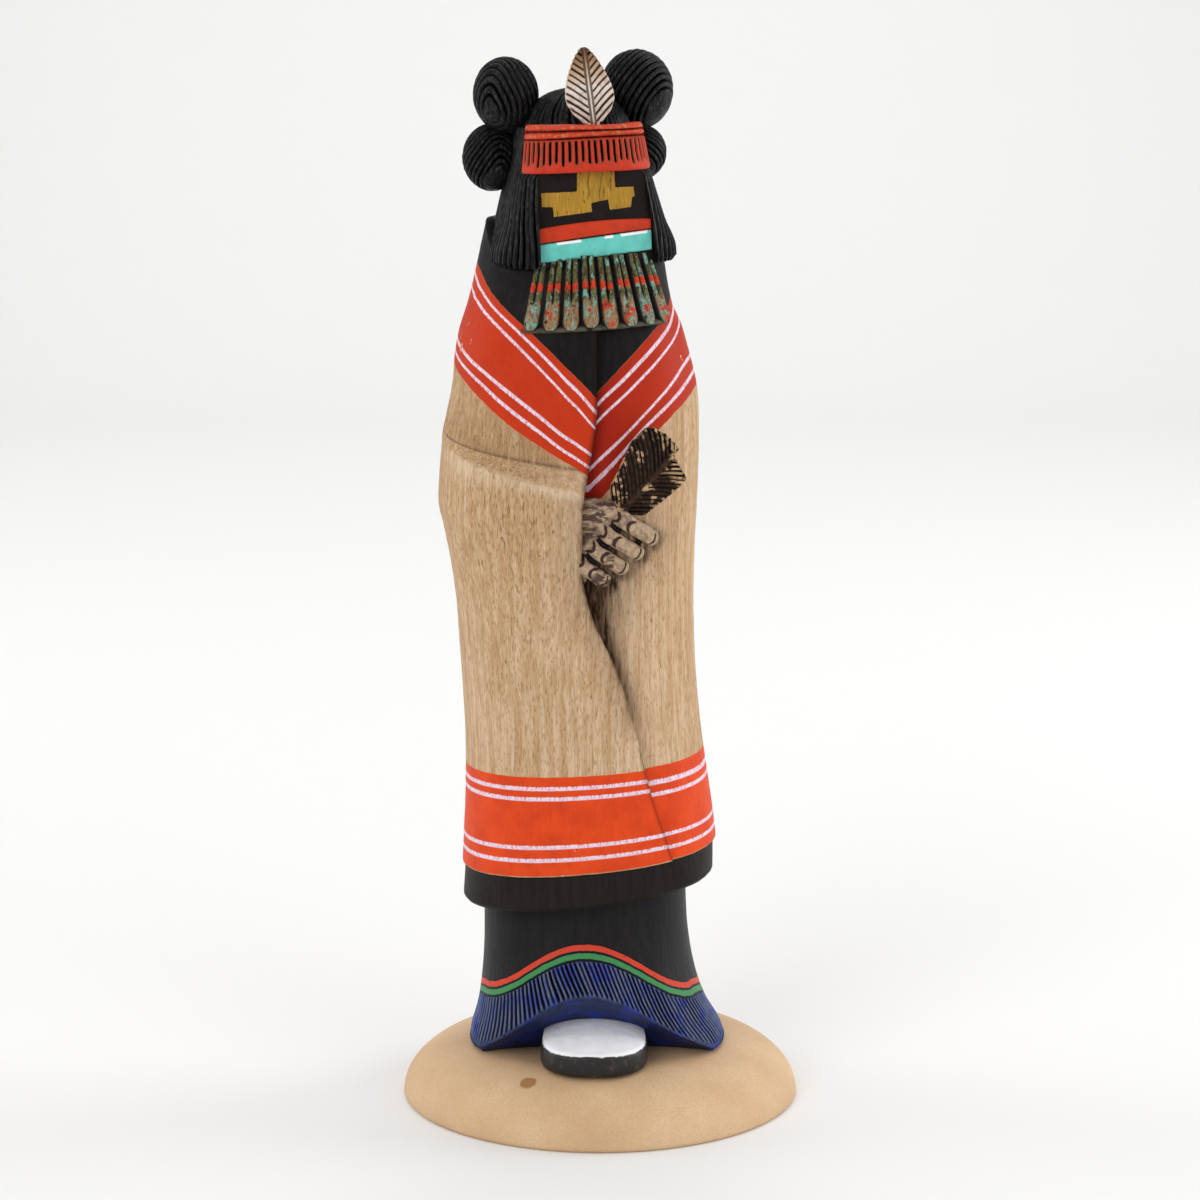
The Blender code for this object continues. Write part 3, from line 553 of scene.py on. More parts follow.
def robeRing(level, inset=0.0):
    nominal = {"brow": 128.0, "crease": 133.5}.get(level, level)
    lapAngle = robeLapAngle(nominal)
    nLeft, nRight = robe["leftColumns"], robe["rightColumns"]
    onLeft = np.arange(nLeft + nRight) < nLeft
    shareLeft = np.clip(np.arange(nLeft + nRight) / (nLeft - 1), 0, 1)
    shareRight = (np.arange(nLeft + nRight) - nLeft) / nRight
    start = lapAngle + math.radians(0.8)
    angle = np.where(onLeft, -math.pi + (lapAngle + math.pi) * shareLeft,
                     start + (math.pi - start) * shareRight)
    toSide = np.clip((lapAngle - angle) / (lapAngle + math.pi / 2), 0.0, 1.0)
    height = np.full(angle.shape, float(nominal))
    if level in ("brow", "crease"):
        fold = robe[level]
        behind = ease((-math.pi / 2 - angle) / 0.9)
        folded = fold[1] + (fold[0] - fold[1]) * toSide ** 0.8
        folded += (nominal - folded) * behind
        height = np.where(angle < lapAngle + 0.1, folded, height)
    lapStep = float(readCurve(robe["lap"], 127.0 if level == "brow" else nominal)[1])
    if level == "crease":
        lapStep = 1.2
    depth = 1.2 if 90 < nominal < 165 else 0.3
    hollow = -depth * np.exp(-((angle - lapAngle) * 24 / 3.5) ** 2)
    proud = np.where(onLeft, lapStep * (1 - ease(toSide)), hollow)
    left, right, front, back = readCurve(robe["rows"], height)
    reach = np.where(np.cos(angle) > 0, front, back)
    outward = proud - inset
    curve = 2 / robe["roundness"]
    x = (left + right) / 2 + (right - left) / 2 * power(np.sin(angle), curve) + outward * np.sin(angle)
    y = -reach * power(np.cos(angle), curve) - outward * np.cos(angle)
    height = height + robe["hemTilt"] * (x + 2.7) * np.maximum(0.0, 1 - (height - 36) / 70)
    across = (angle - lapAngle) * 24
    return np.stack([x, y, height, np.degrees(angle), np.full(angle.shape, float(nominal)), across], axis=-1)


def collarRing(inset, drop):
    ring = robeRing(178.0, inset)
    backward = ease((ring[:, 1] + 14) / 16)
    ring[:, 2] = robe["collar"][0] + (robe["collar"][1] - robe["collar"][0]) * backward - drop
    return ring


def makeRobe():
    rings = [robeRing(height, inset) for height, inset in robe["hem"]]
    rings += [robeRing(level) for level in robe["levels"]]
    rings += [collarRing(*edge) for edge in ((0.0, 1.3), (0.12, 0.6), (0.45, 0.15), (1.0, 0.0), (1.4, 0.0))]
    steps = [2, 8, 3, 9] + [11] * 6 + [7, 7, 18, 8, 12, 7, 7, 7, 7, 7, 8, 3, 3, 3, 3]
    rings = refine(rings, steps[:len(rings) - 1], {0, 1, 2, 3, 13, 14})
    x, y, height, angle, nominal, across = [rings[..., i] for i in range(6)]
    under = np.arange(rings.shape[1]) >= robe["leftColumns"]
    onUnder = np.broadcast_to(under, height.shape)

    # share of the painted band's depth, read between its measured lines
    lines = [(share, np.where(onUnder, readCurve(right, angle)[0], readCurve(left, angle)[0]))
             for share, left, right in robe["band"]]
    bandShare = np.full(height.shape, -1.0)
    for (share, line), (nextShare, nextLine) in zip(lines, lines[1:]):
        part = (line - height) / (line - nextLine)
        bandShare = np.where(part >= 0, share + (nextShare - share) * part, bandShare)
    bandShare = np.where(bandShare < 0, (lines[0][1] - height) / 20.0, bandShare)
    matched = np.interp(nominal, *np.array(robe["hemMatch"]).T)
    front = 1 - ease((angle - 60) / 90)
    hemHeight = np.where(onUnder & (nominal < 70), nominal + (matched - nominal) * front, nominal)
    gap = np.maximum(across, 0)
    # painted shade: darker in the hollow beside the sleeve, along the lap edge and round the fingers under
    # the hand
    cavity = onUnder * (np.exp(-(gap / 2.6) ** 2) * ease((nominal - 64) / 26) * ease((128 - nominal) / 8)
                        + 0.8 * np.exp(-((gap - 2) / 5) ** 2) * np.exp(-((nominal - 103) / 6.5) ** 2))
    edgeShade = np.exp(-(across / 0.35) ** 2) * 0.45 + np.exp(-(across / 3.2) ** 2) * 0.28
    edgeShade = np.where(onUnder, 0, edgeShade) * ease((nominal - 70) / 10)
    spots = np.stack([x - 0.4, height + 1.7], axis=-1)
    away = np.full(height.shape, 99.0)  # how far from the hand, for the painted shadow round the fingers
    for knuckle, tip in fingers:
        foot, along = np.array(knuckle)[[0, 2]], (np.array(tip) - np.array(knuckle))[[0, 2]]
        share = np.clip((spots - foot) @ along / (along @ along), 0, 1)
        away = np.minimum(away, np.linalg.norm(spots - foot - share[..., None] * along, axis=-1))
    handShadow = 0.6 * np.exp(-(np.maximum(away - 1.7, 0) / 0.8) ** 2) + 0.2 * np.exp(-(away / 5.5) ** 2)
    cavity = cavity + onUnder * (y < 0) * handShadow
    cavity = np.clip(cavity + edgeShade * (nominal < 128), 0, 1)
    # painted shadow along the lap edge, strongest above the hand and down by the hem
    seam = np.exp(-(across / 0.45) ** 2) * (ease((nominal - 126) / 4) + 0.8 * (nominal < 72))
    # painted shade along the elbow's crease, on the upper panel only
    crease = ~onUnder * np.exp(-((nominal - 133.6) / 0.28) ** 2) * ease((angle + 95) / 25)
    slope = 0.3 * ease((nominal - 127.9) / 1.2) * ease((134.0 - nominal) / 0.7) * ease((angle + 80) / 40)
    above = 0.85 * ease((nominal - 133.5) / 0.3) * ease((154 - nominal) / 18) * ease((angle + 78) / 22)
    # painted highlight along the brow's edge, on the upper panel only
    brow = ~onUnder * np.exp(-((nominal - 127.7) / 1.1) ** 2) * ease((angle + 85) / 40)
    # painted shade on the panel beneath, strongest next to the lap edge and fading towards the side
    deeperShade = onUnder * (0.35 + 0.65 * np.exp(-gap / 6.0)) * front
    item = gridPiece("robe", figurePoints(x, y, height), turnAngle=angle, robeHeight=height,
                     bandShare=bandShare, hemHeight=hemHeight, underPanel=deeperShade, cavity=cavity,
                     seamNear=seam, creaseNear=crease, ledgeShade=~onUnder * (slope + above), browPale=brow)
    runNodes(item, combTree, depth=0.0, unevenness=0.00022, material=makeRobeMaterial(), seed=3)
    finishPiece(item, sharpAngle=30)
    print("robe made")


makeRobe()


# skirt

skirt = dict(
    # height, left, right, front, back
    rows=[(0, -29.6, 28.3, 27.8, 21.5), (3, -29.0, 27.2, 27.4, 21.2), (8, -27.6, 24.2, 26.6, 20.2),
          (14, -26.7, 21.9, 25.4, 19.2), (22, -26.1, 20.2, 22.6, 18.2), (30, -26.0, 19.4, 20.6, 17.4),
          (44, -26.0, 19.1, 19.6, 17.0)],
    archHeight=15.0, archHalfWidth=27.0, hollow=(-9.0, -13.5), top=42.0, columns=900,
    pitch=1.3, sidePitch=1.6,  # of the fringe's cuts, in front and at the sides
    # degrees from the front, and how far the painted lines climb there
    rise=[(0, 0.0), (20, 0.3), (38, 1.1), (55, 2.7), (68, 3.7), (79, 3.0), (90, 1.7), (105, 1.2), (180, 1.0)],
    grooveTop=7.3, green=(7.75, 8.95), red=(9.5, 10.75))


def makeSkirtMaterial():
    material, tree, coords = newMaterial("paintedSkirt")
    up, groove = attribute(tree, "edgeUp"), attribute(tree, "grooveShade")
    wobble = times(tree, minus(tree, noise(tree, coords, 420.0, 2.0, seed=2.0), 0.5), 0.45)
    level = plus(tree, up, wobble)
    wear = noise(tree, scaled(tree, coords, (700, 700, 200)), 1.0, 4.0, 0.6, seed=6.0)
    mottle = noise(tree, coords, 190.0, 4.0, seed=11.0)
    speck = step(tree, noise(tree, coords, 1500.0, 2.0, seed=8.0), 0.64, 0.04)
    brushed = noise(tree, scaled(tree, coords, (900, 900, 90)), 1.0, 3.0, 0.6, seed=14.0)
    blue = twoTone(tree, step(tree, mottle, 0.57, 0.08), "1d2a52", "203084")
    blue = tint(tree, blue, times(tree, step(tree, wear, 0.55, 0.1), 0.5), "141a3a")
    ridge = twoTone(tree, step(tree, wear, 0.48, 0.1), "46568c", "5a6484")
    ridge = tint(tree, ridge, times(tree, step(tree, mottle, 0.57, 0.06), 0.7), "2a39a0")
    ridge = tint(tree, ridge, times(tree, step(tree, wear, 0.66, 0.03), speck), "a0612f")
    colour = blendColour(tree, step(tree, level, 0.3, 0.3), blue, ridge)
    colour = tint(tree, colour, step(tree, groove, 0.26, 0.10), "09070a")
    black = twoTone(tree, step(tree, brushed, 0.55, 0.2), "121011", "1b1819")
    colour = tint(tree, colour, step(tree, level, skirt["grooveTop"] - 0.15, 0.1), "0b0909")
    green = twoTone(tree, speck, "3a8450", "6d7a30")
    lineRed = twoTone(tree, speck, "c8402c", "9c3524")
    colour = blendColour(tree, between(tree, level, *skirt["green"], 0.1), colour, green)
    colour = blendColour(tree, between(tree, level, *skirt["red"], 0.1), colour, lineRed)
    colour = blendColour(tree, step(tree, level, skirt["red"][1] + 0.35, 0.1), colour, black)
    finishMaterial(tree, colour, 0.5, plus(tree, brushed, noise(tree, coords, 1400.0, 3.0)), 0.00012, 0.15)
    return material


def skirtSection(angle, height):
    left, right, front, back = readCurve(skirt["rows"], height)
    reach = np.where(np.cos(angle) > 0, front, back)
    x = (left + right) / 2 + (right - left) / 2 * power(np.sin(angle), 2 / 2.3)
    return x, -reach * power(np.cos(angle), 2 / 2.3)


def makeSkirt():
    angle = 2 * math.pi * np.arange(skirt["columns"]) / skirt["columns"] + math.pi
    footX, footY = skirtSection(angle, np.zeros(angle.shape))
    share0 = np.minimum(np.abs(footX + 0.8) / skirt["archHalfWidth"], 1.0)
    edge = np.where(np.cos(angle) > 0.3, skirt["archHeight"] * (1 - share0 ** 2) ** 1.15, 0.0) + 0.5
    edgeX, edgeY = skirtSection(angle, edge)
    innerX = footX * 0.97
    toEnd = np.minimum(np.abs(footX) / skirt["archHalfWidth"], 1.0)
    back, end = skirt["hollow"]
    innerY = np.maximum(footY * 0.97, back + (end - back) * toEnd ** 3)
    rings, ups = [], []
    for share in np.linspace(1.0, 0.03, 16):
        reach = 1 - share
        sag = 1.6 * math.sin(math.pi * share) * edge / skirt["archHeight"]
        x, y = innerX + (edgeX - innerX) * reach, innerY + (edgeY - innerY) * reach + sag
        rings.append(figurePoints(x, y, edge * reach))
        ups.append(np.full(angle.shape, -4.0 * share))
    fromFront = np.degrees(np.abs(np.arctan2(np.sin(angle), np.cos(angle))))
    raised = readCurve(skirt["rise"], fromFront)[0]
    outerRows = np.concatenate([[0.0, 0.25, 0.55], np.linspace(0.9, 15.0, 48)])
    for rise in outerRows:
        height = edge + 0.6 * min(rise / 0.55, 1.0) + rise
        x, y = skirtSection(angle, height)
        lip = 0.25 * max(0.0, 1 - rise / 0.55)
        rings.append(figurePoints(x - lip * np.sin(angle), y + lip * np.cos(angle), height))
        ups.append(rise - raised * min(rise / 7.4, 1.0))
    base = edge + 15.6
    for share in np.linspace(0.1, 1.0, 12):
        height = base + (skirt["top"] - base) * share
        x, y = skirtSection(angle, height)
        rings.append(figurePoints(x, y, height))
        ups.append(15.0 - raised + (height - base))
    rings, ups = np.array(rings), np.array(ups)
    lengths = np.hypot(np.roll(footX, -1) - footX, np.roll(footY, -1) - footY)
    sideways = np.sin(angle) ** 2 * ease((np.cos(angle) + 0.5) / 0.5)
    lengths = lengths * skirt["pitch"] / (skirt["pitch"] + (skirt["sidePitch"] - skirt["pitch"]) * sideways)
    around = np.concatenate([[0], np.cumsum(lengths)[:-1]])
    whole = lengths.sum()
    count = round(whole / skirt["pitch"])
    slant = 0.46 * ease((footX + 28) / 24) * ease((np.cos(angle) + 0.2) / 0.4)
    strand = (around + slant * np.clip(ups, 0, 12)) / whole
    carve = ease(ups / 0.5) * ease((skirt["grooveTop"] + 0.1 - ups) / 0.5)
    item = gridPiece("skirt", rings, strand=strand, carveDepth=carve, edgeUp=ups)
    runNodes(item, combTree, grooves=float(count), depth=0.0008, sharpness=1.35, wander=0.6,
             wanderScale=120.0, unevenness=0.00012, shallowest=0.6, material=makeSkirtMaterial(), seed=5)
    finishPiece(item)
    print("skirt made")


makeSkirt()


# shoe

shoe = dict(
    middle=(-1.3, -19.0), halfWidth=11.8, length=13.4, columns=160,
    # height and share of the outline
    wall=[(0.0, 0.955), (0.25, 0.985), (0.7, 1.0), (2.2, 1.004), (3.9, 1.0), (4.4, 0.985), (4.6, 0.965)])


def makeShoeMaterial():
    material, tree, coords = newMaterial("shoePaint")
    up = attribute(tree, "shoeUp")
    ragged = times(tree, minus(tree, noise(tree, coords, 700.0, 3.0, seed=3.0), 0.5), 0.8)
    white = twoTone(tree, noise(tree, coords, 260.0, 4.0), "fbfbfb", "dcdce2")
    worn = step(tree, noise(tree, coords, 500.0, 4.0, seed=4.0), 0.6, 0.08)
    sole = twoTone(tree, worn, "141213", "3a3330")
    colour = blendColour(tree, step(tree, plus(tree, up, ragged), shoe["wall"][-1][0], 0.15), sole, white)
    finishMaterial(tree, colour, 0.5, noise(tree, coords, 900.0, 3.0), 0.0001, 0.4)
    return material


def makeShoe():
    angle = 2 * math.pi * np.arange(shoe["columns"]) / shoe["columns"]
    levels = [(*row, 0) for row in shoe["wall"]]
    top = shoe["wall"][-1][0]
    levels += [(top, share, math.sqrt(1 - share ** 2)) for share in np.linspace(0.95, 0.04, 26)]
    rings, ups = [], []
    for height, scale, dome in levels:
        x = shoe["middle"][0] + shoe["halfWidth"] * scale * power(np.sin(angle), 2 / 2.6)
        y = shoe["middle"][1] - shoe["length"] * scale * power(np.cos(angle), 2 / 2.6)
        rise = dome * (1.15 + 0.17 * (y + 32))
        rings.append(figurePoints(x, y, height + rise))
        ups.append(height + rise + (0.6 if dome else 0.0))
    item = gridPiece("shoe", rings, shoeUp=np.array(ups))
    runNodes(item, combTree, depth=0.0, unevenness=0.00025, material=makeShoeMaterial(), seed=9)
    finishPiece(item, sharpAngle=60)
    print("shoe made")


makeShoe()


# mask and hair

hair = dict(
    # up from the middle of the head, half width, back, front, left and right edge of the mask
    rows=[(-15.0, 19.4, 13.0, 18.0, 11.6, 13.6), (-13.8, 20.4, 13.8, 18.6, 11.6, 13.6),
          (-11, 20.1, 14.2, 18.8, 11.6, 13.3), (-6, 18.0, 14.8, 18.8, 11.6, 12.9),
          (-2, 16.8, 15.0, 18.8, 11.6, 12.4), (4, 15.1, 15.0, 18.2, 11.3, 11.6),
          (7, 14.5, 14.8, 16.6, 9.0, 9.0), (14.5, 12.9, 13.4, 16.0, 7.0, 7.0)],
    roundness=3.0, maskFront=15.2, maskLeft=11.6, maskRight=11.9, maskColumns=100,
    hairColumns=700, grooves=64.0, crownTop=22.4, crownColumns=420, crownGrooves=56.0)


def makeHeadMaterial():
    material, tree, coords = newMaterial("hairAndMask")
    groove, onMask = attribute(tree, "grooveShade"), attribute(tree, "maskShare")
    nose = attribute(tree, "yellowShape")
    ragged = minus(tree, noise(tree, coords, 900.0, 3.0, seed=1.0), 0.5)
    mottle = noise(tree, scaled(tree, coords, (300, 300, 60)), 1.0, 4.0, seed=3.0)
    brushed = noise(tree, scaled(tree, coords, (2400, 2400, 350)), 1.0, 3.0, seed=6.0)
    black = twoTone(tree, step(tree, mottle, 0.55, 0.2), "0d0c0c", "171616")
    # grey flecks on the black paint: dust, with painted sheen
    black = tint(tree, black, times(tree, step(tree, brushed, 0.57, 0.10), 0.55), "434142")
    black = tint(tree, black, step(tree, groove, 0.24, 0.16), "020202")
    mask = twoTone(tree, step(tree, noise(tree, coords, 220.0, 4.0, seed=8.0), 0.5, 0.2), "120d0c", "1c1514")
    shape = step(tree, timesPlus(tree, ragged, 0.3, nose), 0.0, 0.05)
    scratches = noise(tree, scaled(tree, coords, (1900, 1900, 300)), 1.0, 2.0, seed=4.0)
    scratches = step(tree, scratches, 0.62, 0.03)
    ochre = twoTone(tree, step(tree, mottle, 0.5, 0.2), "b1872f", "977127")
    # painted highlights: lighter ochre flecks
    ochre = tint(tree, ochre, times(tree, step(tree, brushed, 0.58, 0.1), 0.3), "caa251")
    ochre = tint(tree, ochre, times(tree, scratches, 0.7), "4b3a12")
    mask = blendColour(tree, shape, mask, ochre)
    colour = blendColour(tree, step(tree, onMask, 0.5, 0.3), black, mask)
    finishMaterial(tree, colour, 0.42, brushed, 0.00012, 0.1)
    return material


# the yellow stepped shape, as (x, height) corners on the front of the mask
noseShape = [(-4.7, 200.0), (-4.9, 190.9), (-12.5, 190.6), (-12.3, 187.7), (-10.0, 187.7), (-9.8, 185.6),
             (-1.7, 186.6), (-1.9, 188.5), (1.7, 189.2), (2.1, 187.0), (6.6, 187.5), (6.8, 189.6),
             (7.4, 189.8), (7.1, 191.8), (3.2, 191.7), (2.7, 200.0)]


def insideDistance(x, z, corners):  # distance to a polygon's edge, positive inside
    corners = np.array(corners)
    nearest = np.full(x.shape, 99.0)
    inside = np.zeros(x.shape, dtype=bool)
    for start, end in zip(corners, np.roll(corners, -1, axis=0)):
        edge = end - start
        share = np.clip(((x - start[0]) * edge[0] + (z - start[1]) * edge[1]) / (edge @ edge), 0, 1)
        away = np.hypot(x - start[0] - share * edge[0], z - start[1] - share * edge[1])
        nearest = np.minimum(nearest, away)
        crosses = (start[1] > z) != (end[1] > z)
        at = start[0] + (z - start[1]) * edge[0] / (edge[1] if edge[1] else 1e-9)
        inside ^= crosses & (x < at)
    return np.where(inside, nearest, -nearest)


def makeHead():
    rings = []
    roundness, maskColumns, hairColumns = hair["roundness"], hair["maskColumns"], hair["hairColumns"]
    for up, halfWidth, back, front, left, right in hair["rows"]:
        across = np.linspace(-left, right, maskColumns)
        face = np.stack([across, hair["maskFront"] - 0.9 * (across / hair["maskLeft"]) ** 2], 1)
        edges = [math.atan2(edge, front * (1 - (edge / halfWidth) ** roundness) ** (1 / roundness))
                 for edge in (right + 0.3, left + 0.3)]
        direction = np.linspace(edges[0], 2 * math.pi - edges[1], hairColumns)
        reach = ovalReach(direction, halfWidth, front, back, roundness)
        mane = np.stack([reach * np.sin(direction), reach * np.cos(direction)], 1)
        ring = np.vstack([face, mane])
        rings.append(np.hstack([ring, np.full((len(ring), 1), up)]))
    rings = refine(rings, [5, 6, 14, 12, 30, 14, 14], {0, 1, 5, 6})
    columns = np.arange(rings.shape[1])
    strand = np.clip((columns - maskColumns) / hairColumns, 0, 1)
    fromEdge = np.minimum(columns - maskColumns, maskColumns + hairColumns - 1 - columns)
    carve = ease(fromEdge / 8.0) * np.ones((rings.shape[0], 1))
    mask = (columns < maskColumns).astype(float)
    points = headPoints(rings[..., 0], rings[..., 1], rings[..., 2])
    nose = insideDistance(points[..., 0], points[..., 2] - soleHeight, noseShape)
    item = gridPiece("maskAndHair", points, caps="fill", strand=strand, carveDepth=carve, maskShare=mask,
                     yellowShape=np.clip(nose, -3, 3))
    runNodes(item, combTree, grooves=hair["grooves"], depth=0.0016, sharpness=2.2, wander=2.6,
             wanderScale=48.0, unevenness=0.0001, shallowest=0.25, material=headMaterial, seed=11)
    finishPiece(item)
    print("head made")


def ovalReach(direction, halfWidth, front, back, roundness):
    side = np.abs(np.sin(direction)) / halfWidth
    ahead = np.abs(np.cos(direction)) / np.where(np.cos(direction) > 0, front, back)
    return (side ** roundness + ahead ** roundness) ** (-1 / roundness)


def makeCrown():
    angle = 2 * math.pi * np.arange(hair["crownColumns"]) / hair["crownColumns"]
    rings = [headPoints(11 * np.sin(angle), 11 * np.cos(angle), 9)]
    for polar in np.linspace(math.pi / 2, 0.03, 40):
        share = math.sin(polar)
        rings.append(headPoints(12.2 * share * np.sin(angle), 12.6 * share * np.cos(angle) - 0.5,
                                hair["crownTop"] - 9.5 + 9.5 * math.cos(polar)))
    carve = ease(np.linspace(1.6, 0.0, len(rings)) * 2)[:, None] * np.ones(len(angle))
    item = gridPiece("crown", rings, strand=angle / (2 * math.pi), carveDepth=carve, maskShare=0.0,
                     yellowShape=-3.0)
    runNodes(item, combTree, grooves=hair["crownGrooves"], depth=0.0009, sharpness=2.2, wander=2.2,
             wanderScale=120.0, unevenness=0.00035, shallowest=0.25, material=headMaterial, seed=13)
    finishPiece(item)
    print("crown made")


headMaterial = makeHeadMaterial()
makeHead()
makeCrown()


# hair whorls

# name, centre (right, front, up), half sizes, pole, ridges, their depth, how much round the pole is plain,
# the side that the ridges show on, and how pointed they are over the pole
whorls = [
    ("upperLeft", (-14.5, -2.4, 21.3), (7.1, 7.9, 8.2), (-0.62, 0.66, -0.43), 15, 0.0012, 0.18, 1.55, 1.0),
    ("upperRight", (14.4, -2.4, 21.3), (8.0, 8.2, 8.7), (0.56, 0.60, -0.57), 18, 0.0012, 0.50, 1.30, 0.15),
    ("lowerLeft", (-17.6, -5.5, 7.9), (6.4, 6.9, 7.3), (0.10, 0.66, -0.74), 18, 0.0011, 0.50, 1.25, 1.0),
    ("lowerRight", (15.8, -7.5, 7.5), (5.9, 6.4, 6.1), (-0.20, 0.70, -0.68), 15, 0.0009, 0.50, 1.60, 0.5)]


def makeWhorls():
    for number, row in enumerate(whorls):
        name, centre, sizes, pole, ridges, depth, plain, facing, pointed = row
        pole = Vector(pole).normalized()
        side = pole.cross(Vector((0, 0, 1))).normalized()
        other = pole.cross(side)
        rows, columns = 205, 108
        polar = np.linspace(0.02, math.pi - 0.02, rows)[:, None]
        around = 2 * math.pi * np.arange(columns)[None, :] / columns
        ring = np.sin(polar)
        spots = [pole[i] * np.cos(polar) + (side[i] * np.cos(around) + other[i] * np.sin(around)) * ring
                 for i in range(3)]
        points = headPoints(*[centre[i] + spots[i] * sizes[i] for i in range(3)])
        # ridges are drawn out to pointed arches over the pole, and fade on the far side of it
        fromTop = np.mod(around - math.pi / 2, 2 * math.pi) - math.pi
        arch = 0.085 * np.exp(-(fromTop / 0.55) ** 2) * ring + 0.03 * np.cos(2 * fromTop) * ring
        arch = arch * pointed
        toward = np.cos(around - facing * math.pi)
        shown = 0.22 + 0.78 * ease((toward + 0.45 + 0.5 * polar / math.pi) / 0.7)
        carve = ease((math.pi - polar) / 0.35) * ease((polar - plain) / 0.2) * shown
        if name == "upperLeft":  # a small dark pit
            wide, tall = polar * np.cos(around) / 0.10, polar * np.sin(around) / 0.045
            carve = carve + 1.5 * np.exp(-wide ** 2 - tall ** 2)
        item = gridPiece(name + "Whorl", points, strand=polar / math.pi - arch, carveDepth=carve,
                         maskShare=0.0, yellowShape=-3.0)
        runNodes(item, combTree, grooves=float(ridges), depth=depth, sharpness=2.6, wander=0.7,
                 wanderScale=80.0, unevenness=0.00035, shallowest=0.45, material=headMaterial,
                 seed=17 + number)
        finishPiece(item)
    print("whorls made")


makeWhorls()


# headband: two cords over a fluted fringe

band = dict(halfAngle=math.radians(53.5), flutes=24, stations=520,
            # up from the middle of the head, half width, front
            rows=[(5.15, 14.3, 17.6), (5.3, 14.8, 18.1), (5.8, 14.95, 18.3), (6.4, 14.9, 18.25),
                  (9.0, 14.45, 17.8), (11.6, 14.05, 17.4), (12.1, 13.8, 17.1), (12.35, 13.2, 16.3),
                  (12.7, 13.75, 17.2), (13.1, 13.85, 17.5), (13.5, 13.65, 17.25), (13.85, 12.9, 16.2),
                  (14.2, 13.45, 17.2), (14.6, 13.5, 17.35), (15.0, 13.25, 17.0), (15.2, 13.0, 16.4)])


def makeBandMaterial():
    material, tree, coords = newMaterial("headbandPaint")
    groove = attribute(tree, "grooveShade")
    rub = noise(tree, coords, 700.0, 4.0, 0.6, seed=2.0)
    red = twoTone(tree, step(tree, rub, 0.55, 0.15), "c2311a", "a5331b")
    red = tint(tree, red, step(tree, rub, 0.68, 0.04), "8f5f3a")
    edge = between(tree, groove, 0.08, 0.3, 0.08)
    red = tint(tree, red, times(tree, edge, step(tree, rub, 0.42, 0.15)), "7c4a33")
    cord = attribute(tree, "cordShare")
    worn = times(tree, cord, step(tree, noise(tree, coords, 1100.0, 3.0, 0.6, seed=5.0), 0.57, 0.05))
    red = tint(tree, red, times(tree, worn, 0.8), "a98460")
    red = tint(tree, red, times(tree, cord, 0.25), "d4593a")
    # painted shadow in the gaps between the two cords and above the fringe
    red = tint(tree, red, attribute(tree, "cordGap"), "2a0d08")
    colour = tint(tree, red, step(tree, groove, 0.24, 0.12), "140706")
    finishMaterial(tree, colour, 0.55, noise(tree, coords, 1500.0, 3.0), 0.0001, 0.18)
    return material


def makeHeadband():
    stations = np.linspace(-1, 1, band["stations"] + 1)
    direction = band["halfAngle"] * stations
    table = np.array([(0, *row) for row in band["rows"]])
    table[:, 0] = np.arange(len(table))
    places = np.linspace(0, len(table) - 1, 76)
    ups, widths, fronts = readCurve(table, places)
    lips = np.random.default_rng(4).uniform(6.3, 7.3, band["flutes"] + 2)
    rings, carve = [], []
    for way in direction:
        reach = ovalReach(way, widths, fronts, fronts, hair["roundness"])
        cords = ease((ups - 12.0) / 1.0)
        up = ups - 0.35 * math.sin(way) ** 2
        up += cords * 0.3 * math.sin(2.6 * way + 0.4) * np.cos(1.1 * (ups - 12.2))
        reach = np.concatenate([reach, [reach[-1] - 3.0, reach[0] - 3.0]])
        up = np.concatenate([up, [14.8, 5.6]])
        rings.append(headPoints(reach * math.sin(way), reach * math.cos(way), up))
        flute = int((way / band["halfAngle"] + 1) / 2 * band["flutes"])
        depth = ease((ups - lips[flute]) / 0.5) * ease((12.2 - ups) / 0.3)
        carve.append(np.concatenate([depth, [0, 0]]))
    carve = np.array(carve) * ease((1 - np.abs(stations)) / 0.02)[:, None]
    strand = ((stations + 1) / 2)[:, None] * np.ones(carve.shape)
    cord = np.concatenate([ease((ups - 12.3) / 0.4), [0, 0]])[None, :]
    # where the painted shadow lies: between the fringe and the lower cord, and between the cords
    gap = np.exp(-((ups - 12.35) / 0.14) ** 2) + np.exp(-((ups - 13.85) / 0.14) ** 2)
    gap = np.concatenate([gap, [0, 0]])[None, :]
    item = gridPiece("headband", rings, strand=strand, carveDepth=carve, cordShare=cord, cordGap=gap)
    runNodes(item, combTree, grooves=float(band["flutes"]), depth=0.0013, sharpness=2.6, wander=0.3,
             wanderScale=300.0, unevenness=0.00025, shallowest=0.7, material=makeBandMaterial(), seed=23)
    finishPiece(item, sharpAngle=60)
    print("headband made")


makeHeadband()


# bars across the mask

bars = dict(
    # each edge: up from the middle of the head at its left end, its bow, and up at its right end
    upperBar=dict(lower=(-9.8, 0.2, -7.6), upper=(-6.6, 0.7, -5.5), colour="c23512", other="b02e10",
                  dashes=()),
    lowerBar=dict(lower=(-13.75, -0.1, -12.1), upper=(-9.95, 0.1, -7.8), colour="68c6bb", other="5db8ac",
                  dashes=((0.16, 0.37), (0.58, 0.66), (0.73, 0.97))))


